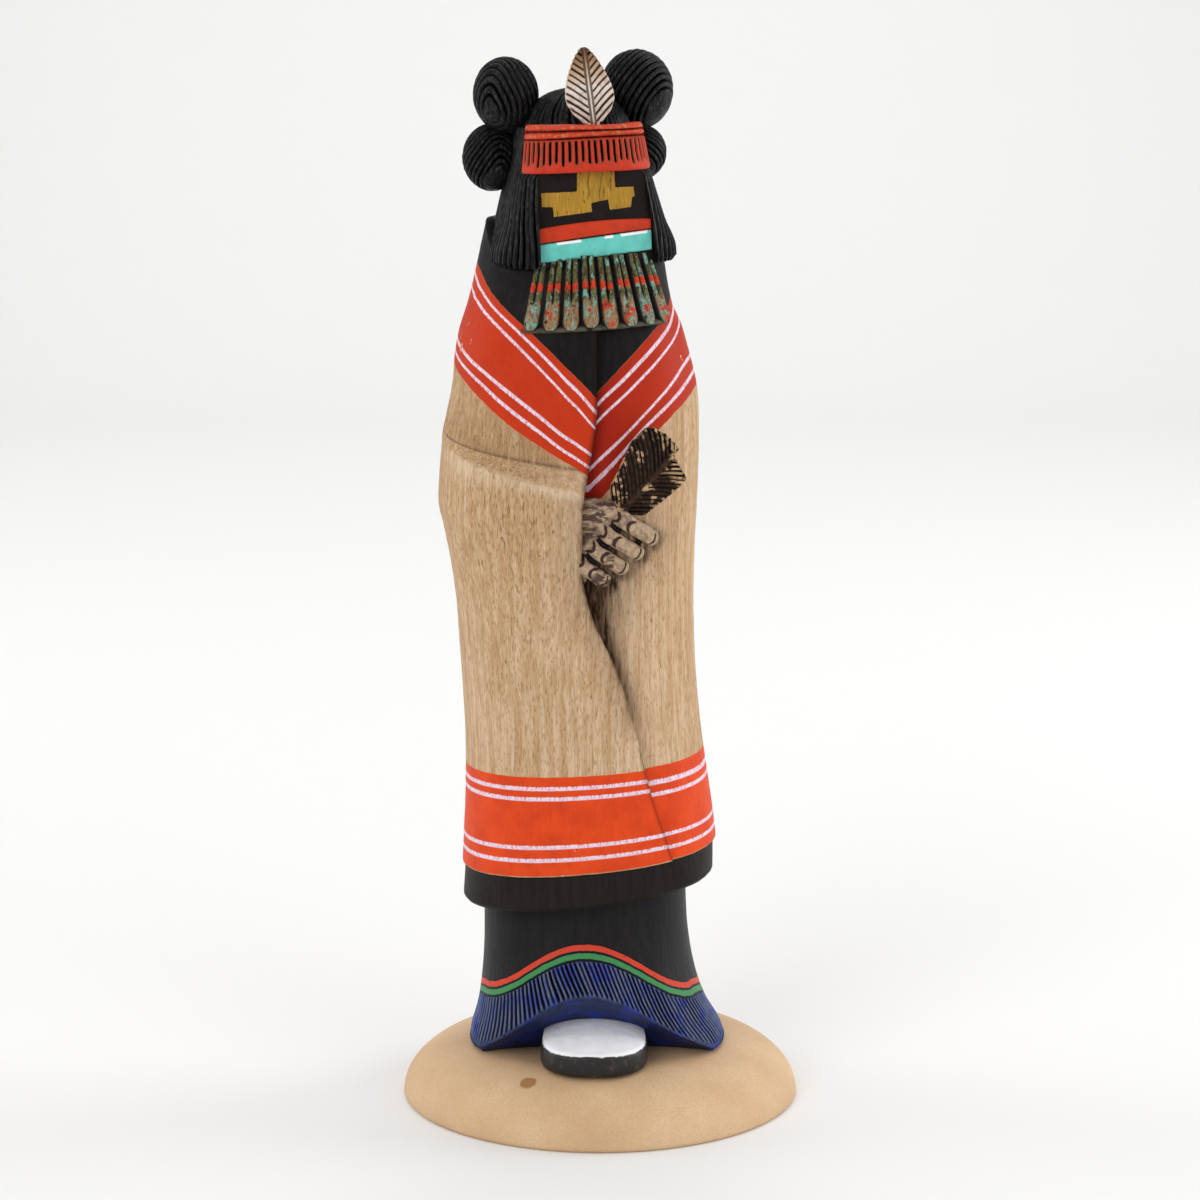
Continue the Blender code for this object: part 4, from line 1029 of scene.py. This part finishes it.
def makeBars():
    for name, bar in bars.items():
        material, tree, coords = newMaterial(name + "Paint")
        up = attribute(tree, "barUp")
        mottle = noise(tree, coords, 380.0, 4.0)
        colour = twoTone(tree, step(tree, mottle, 0.55, 0.15), bar["colour"], bar["other"])
        for start, end in bar["dashes"]:
            dash = timesPlus(tree, minus(tree, mottle, 0.5), 0.12, attribute(tree, "barAlong"))
            dash = times(tree, between(tree, dash, start, end, 0.01), step(tree, up, 0.86, 0.03))
            colour = tint(tree, colour, dash, "f0f0f0")
        finishMaterial(tree, colour, 0.45, noise(tree, coords, 1300.0, 2.0), 0.00008, 0.2)
        share = np.linspace(0, 1, 120)
        across = -hair["maskLeft"] - 0.3 + (hair["maskLeft"] + hair["maskRight"] + 1.2) * share
        low, high = [edge[0] + (edge[2] - edge[0]) * share + edge[1] * 4 * share * (1 - share)
                     for edge in (bar["lower"], bar["upper"])]
        face = hair["maskFront"] + 0.6 - 0.9 * (across / hair["maskLeft"]) ** 2
        section = [(-2.5, 0.0), (-0.5, 0.0), (-0.15, 0.015), (-0.04, 0.05), (0.0, 0.1)]
        section += [(0.0, up) for up in np.linspace(0.18, 0.82, 9)]
        section += [(-0.04, 0.9), (-0.15, 0.975), (-0.5, 1.0), (-2.5, 1.0)]
        rings = np.stack([headPoints(across, face + out, low + (high - low) * up)
                          for out, up in section], axis=1)
        heights = np.array([up for out, up in section])
        item = gridPiece(name, rings, barUp=heights[None, :], barAlong=share[:, None])
        runNodes(item, combTree, depth=0.0, unevenness=0.00012, material=material, seed=29)
        finishPiece(item)
    print("bars made")


makeBars()


# beard: plumes fanned over a thin backing

beard = dict(halfAngle=math.radians(42.5), fan=math.radians(44.5), lean=math.radians(1.6), plumes=8,
             top=(177.0, 16.9), foot=(162.3, 22.9), depth=1.2, flare=2.4,
             # height and reach from the body's axis of the thin backing, round its section
             backing=[(178.2, 13.2), (176.3, 16.2), (170, 19.0), (164.8, 21.0), (163.2, 21.7), (162.7, 22.7),
                      (162.2, 22.9), (161.9, 22.3), (162.2, 12.4), (177.2, 12.4)])


def makeBeardMaterial():
    material, tree, coords = newMaterial("beardPaint")
    along, number = attribute(tree, "plumeAlong"), attribute(tree, "plumeNumber")
    groove = attribute(tree, "plumeGroove")
    own = times(tree, number, 7.31)
    flecks = noise(tree, scaled(tree, coords, (1300, 1300, 560)), 1.0, 3.0, 0.7, seed=own)
    blots = noise(tree, scaled(tree, coords, (650, 650, 300)), 1.0, 3.5, 0.65, seed=own)
    cracks = noise(tree, scaled(tree, coords, (1900, 1900, 420)), 1.0, 3.0, 0.6, 0.8, seed=own)
    upper = twoTone(tree, step(tree, flecks, 0.5, 0.06), "6b6a40", "4a3a26")
    upper = tint(tree, upper, step(tree, blots, 0.57, 0.03), "79b09e")
    upper = tint(tree, upper, step(tree, flecks, 0.64, 0.03), "9aa07a")
    tone = noise(tree, times(tree, number, 3.7), 1.0, 1.0, seed=2.0)
    lower = twoTone(tree, step(tree, tone, 0.5, 0.08), "9b7752", "7b8772")
    lower = tint(tree, lower, step(tree, flecks, 0.56, 0.04), "6fb3a6")
    dabs = noise(tree, coords, 480.0, 3.5, 0.65, seed=own)
    lower = tint(tree, lower, step(tree, dabs, 0.57, 0.03), "c2381b")
    lower = tint(tree, lower, times(tree, step(tree, cracks, 0.58, 0.05), 0.6), "4c3524")
    colour = blendColour(tree, step(tree, along, 0.60, 0.06), upper, lower)
    dab = between(tree, timesPlus(tree, blots, 0.22, along), 0.45, 0.56, 0.02)
    colour = tint(tree, colour, times(tree, dab, step(tree, flecks, 0.36, 0.04)), "d23c1c")
    colour = tint(tree, colour, step(tree, cracks, 0.615, 0.03), "1c1310")
    # painted shade in the grooves between and within the plumes
    colour = tint(tree, colour, step(tree, groove, 0.56, 0.20), "060404")
    finishMaterial(tree, colour, 0.6, plus(tree, flecks, cracks), 0.0008, 0.25)
    return material


def makePlumeTree():
    tree = bpy.data.node_groups.new("fannedPlumes", "GeometryNodeTree")
    face = tree.interface
    face.new_socket("Geometry", in_out="INPUT", socket_type="NodeSocketGeometry")
    face.new_socket("Plumes", in_out="INPUT", socket_type="NodeSocketInt").default_value = 8
    for label, default in (("First Angle", 0.0), ("Angle Step", 0.2), ("Rise", 0.0), ("Flare", 0.0)):
        face.new_socket(label, in_out="INPUT", socket_type="NodeSocketFloat").default_value = default
    face.new_socket("Axis", in_out="INPUT", socket_type="NodeSocketVector")
    face.new_socket("Material", in_out="INPUT", socket_type="NodeSocketMaterial")
    face.new_socket("Geometry", in_out="OUTPUT", socket_type="NodeSocketGeometry")
    given = addNode(tree, "NodeGroupInput").outputs
    line = addNode(tree, "GeometryNodeMeshLine")
    plug(tree, line.inputs["Count"], given["Plumes"])
    line.inputs["Offset"].default_value = (0, 0, 0)
    index = addNode(tree, "GeometryNodeInputIndex").outputs[0]
    angle = timesPlus(tree, index, given["Angle Step"], given["First Angle"])
    turned = addNode(tree, "ShaderNodeCombineXYZ")
    plug(tree, turned.inputs["Z"], angle)
    sideways, ahead = calc(tree, "SINE", angle), calc(tree, "COSINE", angle)
    rise = addNode(tree, "ShaderNodeCombineXYZ")
    jitter = addNode(tree, "FunctionNodeRandomValue", data_type="FLOAT")
    floats = [socket for socket in jitter.inputs if socket.type == "VALUE"]
    floats[0].default_value = -0.0004
    floats[1].default_value = 0.0004
    jitter.inputs["Seed"].default_value = 6
    shift = [socket for socket in jitter.outputs if socket.type == "VALUE"][0]
    plug(tree, rise.inputs["Z"], plus(tree, shift, times(tree, sideways, given["Rise"])))
    mover = addNode(tree, "GeometryNodeSetPosition")
    plug(tree, mover.inputs["Geometry"], line.outputs[0])
    outward = addNode(tree, "ShaderNodeCombineXYZ")  # the outer plumes stand further off the robe
    flare = times(tree, calc(tree, "POWER", sideways, 2.0), given["Flare"])
    plug(tree, outward.inputs["X"], times(tree, sideways, flare))
    plug(tree, outward.inputs["Y"], times(tree, ahead, times(tree, flare, -1.0)))
    place = vectorCalc(tree, "ADD", given["Axis"], rise.outputs[0])
    plug(tree, mover.inputs["Offset"], vectorCalc(tree, "ADD", place, outward.outputs[0]))
    copies = addNode(tree, "GeometryNodeInstanceOnPoints")
    plug(tree, copies.inputs["Points"], mover.outputs[0])
    plug(tree, copies.inputs["Instance"], given["Geometry"])
    plug(tree, copies.inputs["Rotation"], turned.outputs[0])
    store = addNode(tree, "GeometryNodeStoreNamedAttribute", data_type="FLOAT", domain="INSTANCE")
    store.inputs["Name"].default_value = "plumeNumber"
    plug(tree, store.inputs["Geometry"], copies.outputs[0])
    plug(tree, store.inputs["Value"], addNode(tree, "GeometryNodeInputIndex").outputs[0])
    realize = addNode(tree, "GeometryNodeRealizeInstances")
    plug(tree, realize.inputs[0], store.outputs[0])
    setMaterial = addNode(tree, "GeometryNodeSetMaterial")
    plug(tree, setMaterial.inputs["Geometry"], realize.outputs[0])
    plug(tree, setMaterial.inputs["Material"], given["Material"])
    plug(tree, addNode(tree, "NodeGroupOutput").inputs[0], setMaterial.outputs[0])
    return tree


def makeBeard():
    material = makeBeardMaterial()
    stepAngle = 2 * beard["fan"] / beard["plumes"]
    # one plume, drawn straight ahead of the body's axis: two quills that join into a spoon
    along = np.linspace(0, 1, 50)[:, None]
    across = np.linspace(-1, 1, 29)[None, :]
    (topUp, topOut), (footUp, footOut) = beard["top"], beard["foot"]
    height = topUp + (footUp - topUp) * along
    out = topOut + (footOut - topOut) * along
    tip = np.clip((along - 0.84) / 0.16, 0, 1)
    half = stepAngle / 2 * (0.88 + 0.10 * along) * (1 - 0.50 * tip ** 2.6)
    split = 1 - ease((along - 0.55) / 0.18)
    twin = np.abs(np.sin(math.pi * across * 0.98)) ** 0.8
    spoon = np.clip(1 - np.abs(across) ** 2.6, 0, 1) ** 0.8 * (1 - 0.25 * np.abs(across - 0.25))
    bulge = split * twin * spoon ** 0.4 + (1 - split) * spoon
    thin = 1 - 0.6 * tip ** 3
    front = out + (beard["depth"] * bulge - 0.4) * thin
    rear = out - 1.6
    rings = []
    angleAt = half * across
    for i in range(len(along)):
        level = np.full(across.shape[1], soleHeight + height[i, 0])
        fronts = np.stack([front[i] * np.sin(angleAt[i]), -front[i] * np.cos(angleAt[i]), level], 1)
        backs = np.stack([rear[i] * np.sin(angleAt[i]), -rear[i] * np.cos(angleAt[i]), level], 1)[::-1]
        rings.append(np.vstack([fronts, backs]))
    # depth of each groove, for the painted shade in it
    groove = 1 - bulge
    full = np.hstack([groove, np.ones(groove.shape)])
    item = gridPiece("beardPlumes", rings, plumeAlong=along, plumeGroove=full)
    axis = Vector((bodyAxis[0] * 0.001, bodyAxis[1] * 0.001, 0))
    firstAngle = turn + beard["lean"] - beard["fan"] + stepAngle / 2
    runNodes(item, makePlumeTree(), plumes=beard["plumes"], firstAngle=firstAngle, angleStep=stepAngle,
             rise=0.0013, flare=beard["flare"] * 0.001, axis=axis, material=material)
    finishPiece(item, sharpAngle=70)

    angle = beard["halfAngle"] * np.linspace(-1, 1, 120)
    heights, reaches = np.array(beard["backing"]).T
    rings = [bodyPoints(way, reaches + beard["flare"] * math.sin(way + turn) ** 2,
                        heights + 1.3 * math.sin(way)) for way in angle]
    material, tree, coords = newMaterial("beardBacking")
    smear = noise(tree, coords, 500.0, 3.0)
    worn = times(tree, attribute(tree, "ledge"), step(tree, smear, 0.4, 0.1))
    colour = twoTone(tree, worn, "0d0a0a", "4c4737")
    finishMaterial(tree, colour, 0.6, smear, 0.0001, 0.3)
    ledge = np.array([0, 0, 0, 0, 0, 1, 1, 1, 0, 0.0])
    item = gridPiece("beardBacking", rings, ledge=ledge[None, :])
    finishPiece(item, material=material)
    print("beard made")


makeBeard()


# hand

hand = dict(
    radius=1.9, voxel=0.00024,  # the voxel in metres
    palm=[(-7.5, 125.6), (-2, 126.4), (2.4, 126.0), (5.0, 124.0), (5.8, 121.0), (-1.9, 110.2),
          (-3.4, 108.0), (-7.5, 109.6)])


def makeHandMaterial():
    material, tree, coords = newMaterial("handWood")
    ink, strokes = attribute(tree, "handInk"), attribute(tree, "palmStrokes")
    grain = noise(tree, scaled(tree, coords, (900, 900, 700)), 1.0, 4.0, seed=2.0)
    blotch = noise(tree, coords, 380.0, 4.0, seed=5.0)
    slanted = scaled(tree, coords, (260, 260, 900), rotation=(0, -0.55, 0))
    sweep = noise(tree, slanted, 1.0, 3.0, 0.6, 0.5, seed=9.0)
    colour = twoTone(tree, step(tree, grain, 0.52, 0.12), "b39a7e", "8d745c")
    colour = tint(tree, colour, step(tree, blotch, 0.58, 0.06), "7d6655")
    swept = times(tree, strokes, step(tree, sweep, 0.50, 0.05))
    colour = tint(tree, colour, times(tree, swept, 0.9), "38211f")
    dark = step(tree, timesPlus(tree, minus(tree, grain, 0.5), 1.1, ink), 0.5, 0.14)
    colour = tint(tree, colour, dark, "3c2523")
    # painted shadow in the gaps between the fingers
    dark = step(tree, timesPlus(tree, minus(tree, grain, 0.5), 0.3, attribute(tree, "handGap")), 0.4, 0.15)
    colour = tint(tree, colour, dark, "120a08")
    finishMaterial(tree, colour, 0.6, grain, 0.00025, 0.25)
    return material


def segmentSpot(points, start, end):
    start, end = np.array(start), np.array(end)
    along = end - start
    share = np.clip(((points - start) @ along) / (along @ along), -0.4, 1.4)
    away = np.linalg.norm(points - start - np.clip(share, 0, 1)[:, None] * along, axis=1)
    return share * np.linalg.norm(along), away


def makeHand():
    parts = []
    for start, end in fingers:
        start, end = np.array(start), np.array(end)
        along = (end - start) / np.linalg.norm(end - start)
        side = np.cross(along, [0, 1, 0])
        side /= np.linalg.norm(side)
        depth = np.cross(along, side)
        ring = 2 * math.pi * np.arange(28)[:, None] / 28
        rings = []
        length = np.linalg.norm(end - start)
        for travel in np.linspace(-0.97, length / hand["radius"] + 0.6, 40):
            first = max(-travel, 0.0)
            last = max(travel - length / hand["radius"] + 0.35, 0.0) / 0.97
            size = math.sqrt(max(1 - first ** 2, 0)) * math.sqrt(max(1 - last ** 2, 0.001))
            knuckle = 1.0 + 0.13 * math.exp(-((travel + 0.1) / 0.55) ** 2)
            knuckle -= 0.05 * math.exp(-((travel - 1.0) / 0.5) ** 2)
            spot = start + along * hand["radius"] * travel
            rings.append(figurePoints(*(spot + (side * np.cos(ring) + depth * np.sin(ring) * 1.1)
                                        * hand["radius"] * size * knuckle).T))
        parts.append(gridPiece("finger", rings))
    rings = []
    middle = np.array([-2.0, 117.4])
    outline = np.array(hand["palm"])
    for y, grow in ((-19.0, 0.0), (-26.6, 0.0), (-27.6, -0.35), (-28.3, -1.0), (-28.75, -2.2)):
        spot = outline - middle
        spot = middle + spot * (1 + grow / np.linalg.norm(spot, axis=1, keepdims=True))
        rings.append(figurePoints(spot[:, 0], y - 0.12 * (spot[:, 0] + 2), spot[:, 1]))
    parts.append(gridPiece("palm", rings))
    bm = bmesh.new()
    for part in parts:
        bm.from_mesh(part.data)
    mesh = bpy.data.meshes.new("hand")
    bm.to_mesh(mesh)
    bm.free()
    for part in parts:
        bpy.data.objects.remove(part)
    item = bpy.data.objects.new("hand", mesh)
    bpy.context.scene.collection.objects.link(item)
    remesh = item.modifiers.new("Remesh", "REMESH")
    remesh.mode = "VOXEL"
    remesh.voxel_size = hand["voxel"]
    smooth = item.modifiers.new("Smooth", "SMOOTH")
    smooth.iterations = 3
    smooth.factor = 0.6
    evaluated = item.evaluated_get(bpy.context.evaluated_depsgraph_get())
    mesh = bpy.data.meshes.new_from_object(evaluated)
    item.modifiers.clear()
    item.data = mesh
    points = np.empty(len(mesh.vertices) * 3)
    mesh.vertices.foreach_get("co", points)
    points = points.reshape(-1, 3) * 1000 - [0, 0, soleHeight]
    # ink: crescents round each knuckle and nail; painted shadow in the gaps between fingers
    reaches = []
    marks = []
    for start, end in fingers:
        along, away = segmentSpot(points, start, end)
        axis = np.array(end) - np.array(start)
        length = np.linalg.norm(axis)
        side = np.cross(axis / length, [0, 1, 0])
        offset = ((points - np.array(start)) @ side) / hand["radius"]
        mark = np.zeros(len(points))
        for place, bend, width in ((-1.3, -1.2, 0.42), (1.25, 1.3, 0.52), (length + 0.2, -0.8, 0.26)):
            line = np.exp(-((along - place - bend * offset ** 2) / width) ** 2)
            mark = np.maximum(mark, line * ease((0.95 - np.abs(offset)) / 0.25))
        marks.append(mark)
        reaches.append(away)
    nearest, second = np.sort(np.array(reaches), axis=0)[:2]
    ink = np.array(marks)[np.argmin(np.array(reaches), axis=0), np.arange(len(points))]
    gap = np.exp(-((second - nearest) / 0.85) ** 2) * ease((nearest - 1.2) / 0.35) * (nearest < 2.6)
    starts = np.array([start for start, end in fingers])
    beyond = np.min(np.linalg.norm(points[:, None, :] - starts[None], axis=2), axis=1)
    strokes = ease((beyond - 2.2) / 1.5) * (points[:, 0] < 3.0)
    normals = np.empty(len(mesh.vertices) * 3)
    mesh.vertices.foreach_get("normal", normals)
    inward = normals.reshape(-1, 3) * 0.35 * np.maximum(ink, gap)[:, None]
    carved = (points + [0, 0, soleHeight] - inward) * 0.001
    mesh.vertices.foreach_set("co", carved.ravel())
    for key, values in (("handInk", ink), ("handGap", gap), ("palmStrokes", strokes)):
        layer = mesh.attributes.new(key, "FLOAT", "POINT")
        layer.data.foreach_set("value", values.astype(np.float32))
    finishPiece(item, material=makeHandMaterial(), sharpAngle=80)
    print("hand made")


makeHand()


# feathers

# edges are rows of how far up the feather, as a share of its length, and how far out, as a share of its
# width, or of half of it where both sides share one table
feathers = dict(
    head=dict(length=15.85, width=10.5, thickness=1.6, tenon=(2.6, 3.6), columns=51, rows=180, barbs=10.0,
              foot=headPoints(1.15, 13.7, 15.4), along=(-0.135, 0.0, 1.0), facing=turn,
              edge=[(0.0, 0.42), (0.05, 0.53), (0.107, 0.72), (0.184, 0.87), (0.26, 0.97), (0.337, 1.0),
                    (0.452, 0.95), (0.567, 0.85), (0.682, 0.71), (0.797, 0.545), (0.912, 0.34),
                    (0.97, 0.20), (0.99, 0.13), (1.0, 0.06)]),
    hand=dict(length=17.8, width=14.6, thickness=1.6, tenon=(2.6, 3.6), columns=61, rows=180, barbs=15.0,
              foot=figurePoints(4.8, -27.4, 124.2), along=(0.68, 0.18, 0.73), facing=math.radians(15),
              left=[(0.0, -0.23), (0.087, -0.375), (0.40, -0.49), (0.67, -0.60), (0.91, -0.58),
                    (0.985, -0.48), (1.0, -0.36)],
              right=[(0.0, 0.1), (0.12, 0.29), (0.28, 0.33), (0.68, 0.40), (0.79, 0.40), (0.82, 0.36),
                     (0.9, 0.0), (1.0, -0.34)]))


def featherFrame(foot, along, facing):
    quill = Vector(along).normalized()
    across = quill.cross(Vector((math.sin(facing), -math.cos(facing), 0))).normalized()
    outward = across.cross(quill)
    place = Matrix((across, outward, quill)).transposed().to_4x4()
    place.translation = Vector(foot) * 0.001
    return place


def featherEdges(kind, share):
    sizes = feathers[kind]
    if kind == "hand":
        return [sizes["width"] * np.interp(share, *np.array(sizes[side]).T) for side in ("left", "right")]
    half, skewed = sizes["width"] / 2, share - 0.03 * np.sin(np.pi * share)
    return -half * readCurve(sizes["edge"], skewed)[0], half * readCurve(sizes["edge"], share)[0]


def makeFeatherMaterial(name, kind):
    material, tree, coords = newMaterial(name)
    groove, rib = attribute(tree, "grooveShade"), attribute(tree, "ribNear")
    grain = noise(tree, coords, 900.0, 4.0, seed=3.0)
    if kind == "head":
        along = attribute(tree, "alongShare")
        base = ramp(tree, along, [(0.0, paint("cabbaf")), (0.45, paint("ddd0c4")), (0.66, paint("c2a587")),
                                  (0.86, paint("8a6440")), (1.0, paint("5a3a20"))])
        base = tint(tree, base, times(tree, step(tree, grain, 0.58, 0.1), 0.5), "a08878")
        lines = minus(tree, rib, 0.55)
        lines = step(tree, times(tree, calc(tree, "ABSOLUTE", lines), -1.0), -0.34, 0.08)
        colour = tint(tree, base, times(tree, lines, 0.85), "331d10")
        smudge = times(tree, step(tree, groove, 0.10, 0.1), step(tree, grain, 0.48, 0.1))
        colour = tint(tree, colour, times(tree, smudge, 0.3), "8a6040")
        colour = tint(tree, colour, step(tree, groove, 0.30, 0.15), "1d100a")
    else:
        streaks = noise(tree, attribute(tree, "barbStreak"), 1.0, 3.0, 0.6, seed=6.0)
        patches = noise(tree, coords, 210.0, 3.0, 0.6, seed=9.0)
        pale = times(tree, step(tree, patches, 0.53, 0.03), step(tree, grain, 0.45, 0.08))
        pale = larger(tree, pale, times(tree, attribute(tree, "rimNear"), step(tree, grain, 0.56, 0.06)))
        base = twoTone(tree, step(tree, grain, 0.5, 0.15), "1b0f09", "382212")
        base = blendColour(tree, times(tree, pale, step(tree, streaks, 0.42, 0.1)), base,
                           twoTone(tree, step(tree, streaks, 0.56, 0.05), "c2a57e", "94573a"))
        colour = tint(tree, base, step(tree, groove, 0.30, 0.15), "050303")
        rim = times(tree, step(tree, rib, 0.7, 0.1), step(tree, grain, 0.46, 0.08))
        colour = tint(tree, colour, times(tree, rim, 0.1), "6b4c33")
    finishMaterial(tree, colour, 0.5, grain, 0.00008, 0.25 if kind == "head" else 0.12)
    return material


def makeFeather(name, kind, node):
    sizes = feathers[kind]
    share = np.linspace(0.0, 1.0, sizes["rows"])
    left, right = featherEdges(kind, share)
    across = np.linspace(-1, 1, sizes["columns"])
    height = share * sizes["length"]
    tenon = [(-sizes["tenon"][1], sizes["tenon"][0] / 2), (-0.2, sizes["tenon"][0] / 2)]
    rings, strand, carve, ribs, alongs, rims = [], [], [], [], [], []

    def addRing(up, low, high, flat):
        x = np.where(across < 0, -across * low, across * high)
        rim = 1 - np.abs(across) ** 8
        rib = np.exp(-(x / 0.55) ** 2)
        out = sizes["thickness"] / 2 * (0.62 + 0.2 * rim * flat) + 0.28 * rib * flat
        out = np.minimum(out, sizes["thickness"] / 2)
        level = np.full(x.shape, up)
        rings.append(np.vstack([np.stack([x, -out, level], 1), np.stack([x, out, level], 1)[::-1]]))
        reach = np.abs(x)
        barb = (up - 1.05 * reach + 0.035 * reach ** 2) / sizes["length"]
        strand.append(np.concatenate([barb, barb[::-1]]))
        depth = flat * ease((np.abs(x) - 0.55) / 0.25) * ease((1.02 - np.abs(across)) / 0.05)
        carve.append(np.concatenate([depth, depth[::-1]]))
        ribs.append(np.concatenate([rib, rib[::-1]]))
        alongs.append(np.full(2 * len(x), max(up, 0) / sizes["length"]))
        rim = np.maximum(ease((np.abs(across) - 0.84) / 0.1), ease((up / sizes["length"] - 0.93) / 0.05))
        rims.append(np.concatenate([rim, rim[::-1]]))

    for up, half in tenon:
        addRing(up, -half, half, 0.0)
    for ring in zip(height, left, right):
        addRing(*ring, 1.0)
    rings = np.array(rings)
    matrix = np.array(featherFrame(sizes["foot"], sizes["along"], sizes["facing"]))
    points = rings * 0.001 @ matrix[:3, :3].T + matrix[:3, 3]
    item = gridPiece(name, points * 1000, strand=np.array(strand), carveDepth=np.array(carve),
                     ribNear=np.array(ribs), alongShare=np.array(alongs), rimNear=np.array(rims),
                     barbStreak=np.array(strand) * 60)
    runNodes(item, combTree, grooves=sizes["barbs"], depth=0.00062, sharpness=1.7, wander=0.6,
             wanderScale=160.0, unevenness=0.00006, shallowest=0.5, seed=31,
             material=makeFeatherMaterial(name + "Finish", kind))
    finishPiece(item, (node,), sharpAngle=60)


makeFeather("headFeather", "head", "head_feather")
makeFeather("handFeather", "hand", "hand_feather")
print("feathers made")


# turned disc

disc = dict(diameter=88.9, thickness=12.7, edgeRun=19.0, footChamfer=0.6, columns=256,
            knot=(-15.6, -30.4), knotSize=(1.8, 1.9))


def makeDiscMaterial():
    material, tree, coords = newMaterial("discWood")
    fine = noise(tree, coords, 2300.0, 3.0, seed=2.0)
    cloud = noise(tree, coords, 60.0, 4.0, seed=5.0)
    colour = ramp(tree, cloud, [(0.3, paint("c4a17a")), (0.55, paint("d1b08a")), (0.75, paint("dabd9a"))])
    colour = tint(tree, colour, times(tree, step(tree, fine, 0.5, 0.12), 0.4), "ba966f")
    (x, y), (wide, deep) = disc["knot"], disc["knotSize"]
    spot = scaled(tree, coords, (1000 / wide, 1000 / deep, 0), (-x / wide, -y / deep, 0))
    ragged = timesPlus(tree, minus(tree, noise(tree, coords, 900.0, 2.0), 0.5), 0.5,
                       vectorCalc(tree, "LENGTH", spot))
    spot = inverse(tree, step(tree, ragged, 1.0, 0.15))
    colour = tint(tree, colour, times(tree, spot, 0.8), "94602f")
    finishMaterial(tree, colour, 0.6, fine, 0.00006, 0.3)
    return material


def makeDisc():
    radius = disc["diameter"] / 2
    profile = [(0.5, 0.0), (radius * 0.5, 0.0), (radius - disc["footChamfer"], 0.0)]
    for angle in np.linspace(math.pi / 2, 0, 33):
        profile.append((radius - disc["edgeRun"] + disc["edgeRun"] * math.sin(angle),
                        disc["footChamfer"] + (disc["thickness"] - disc["footChamfer"]) * math.cos(angle)))
    profile += [(radius * f, disc["thickness"]) for f in (0.45, 0.3, 0.15, 0.01)]
    around = 2 * math.pi * np.arange(disc["columns"]) / disc["columns"]
    rings = [np.stack([r * np.cos(around), r * np.sin(around), np.full(around.shape, z)], 1)
             for r, z in profile]
    item = gridPiece("turnedDisc", rings)
    finishPiece(item, ("base",), makeDiscMaterial())
    print("disc made")


makeDisc()


# stage, light and camera

stage = dict(floor=(0.80, 0.80, 0.795), world=0.50, key=5.8, fill=3.1, top=1.5, side=3.0, back=11.5,
             cameraPlace=(0, -0.74258, 0.24702), cameraAngle=20, lookingDown=10.2387)  # degrees


def makeStage():
    material, tree = newMaterial("paleGround")[:2]
    finishMaterial(tree, (*stage["floor"], 1), 0.8)
    angle = np.linspace(0, math.pi / 2, 17)
    bend = [(1.2 + 0.5 * math.sin(a), 0.5 - 0.5 * math.cos(a)) for a in angle[1:]]
    profile = [(-4.0, 0.0), (1.2, 0.0)] + bend + [(1.7, 2.5)]
    points = [(x, y, z) for y, z in profile for x in (-4.0, 4.0)]
    faces = [(2 * i, 2 * i + 1, 2 * i + 3, 2 * i + 2) for i in range(len(profile) - 1)]
    mesh = bpy.data.meshes.new("ground")
    mesh.from_pydata(points, [], faces)
    mesh.materials.append(material)
    for polygon in mesh.polygons:
        polygon.use_smooth = True
    ground = bpy.data.objects.new("ground", mesh)
    bpy.context.scene.collection.objects.link(ground)

    middle = Vector((0, 0, 0.1))
    for name, place, target, size, watts in (
            ("keyLight", (-0.6, -1.0, 0.75), middle, 0.8, stage["key"]),
            ("fillLight", (0.8, -0.9, 0.45), middle, 0.8, stage["fill"]),
            ("topLight", (0.0, -0.1, 1.3), middle, 0.9, stage["top"]),
            ("leftLight", (-1.0, 0.25, 0.4), middle, 0.6, stage["side"]),
            ("rightLight", (1.0, 0.25, 0.4), middle, 0.6, stage["side"] * 1.7),
            ("backLight", (0.0, 0.8, 1.6), Vector((0, 1.7, 0.4)), 1.4, stage["back"])):
        data = bpy.data.lights.new(name, "AREA")
        data.shape = "DISK"
        data.size = size
        data.energy = watts
        light = bpy.data.objects.new(name, data)
        light.location = place
        light.rotation_euler = (target - Vector(place)).to_track_quat("-Z", "Y").to_euler()
        bpy.context.scene.collection.objects.link(light)
    world = bpy.data.worlds.new("softWorld")
    world.use_nodes = True
    world.node_tree.nodes["Background"].inputs[0].default_value = (1, 1, 1, 1)
    world.node_tree.nodes["Background"].inputs[1].default_value = stage["world"]
    bpy.context.scene.world = world
    bpy.context.scene.view_settings.view_transform = "Standard"

    camera = bpy.data.cameras.new("camera")
    camera.angle = math.radians(stage["cameraAngle"])
    camera.clip_start = 0.01
    viewer = bpy.data.objects.new("camera", camera)
    viewer.location = stage["cameraPlace"]
    viewer.rotation_euler = (math.radians(90 - stage["lookingDown"]), 0, 0)
    bpy.context.scene.collection.objects.link(viewer)
    bpy.context.scene.camera = viewer
    print("stage made")


makeStage()
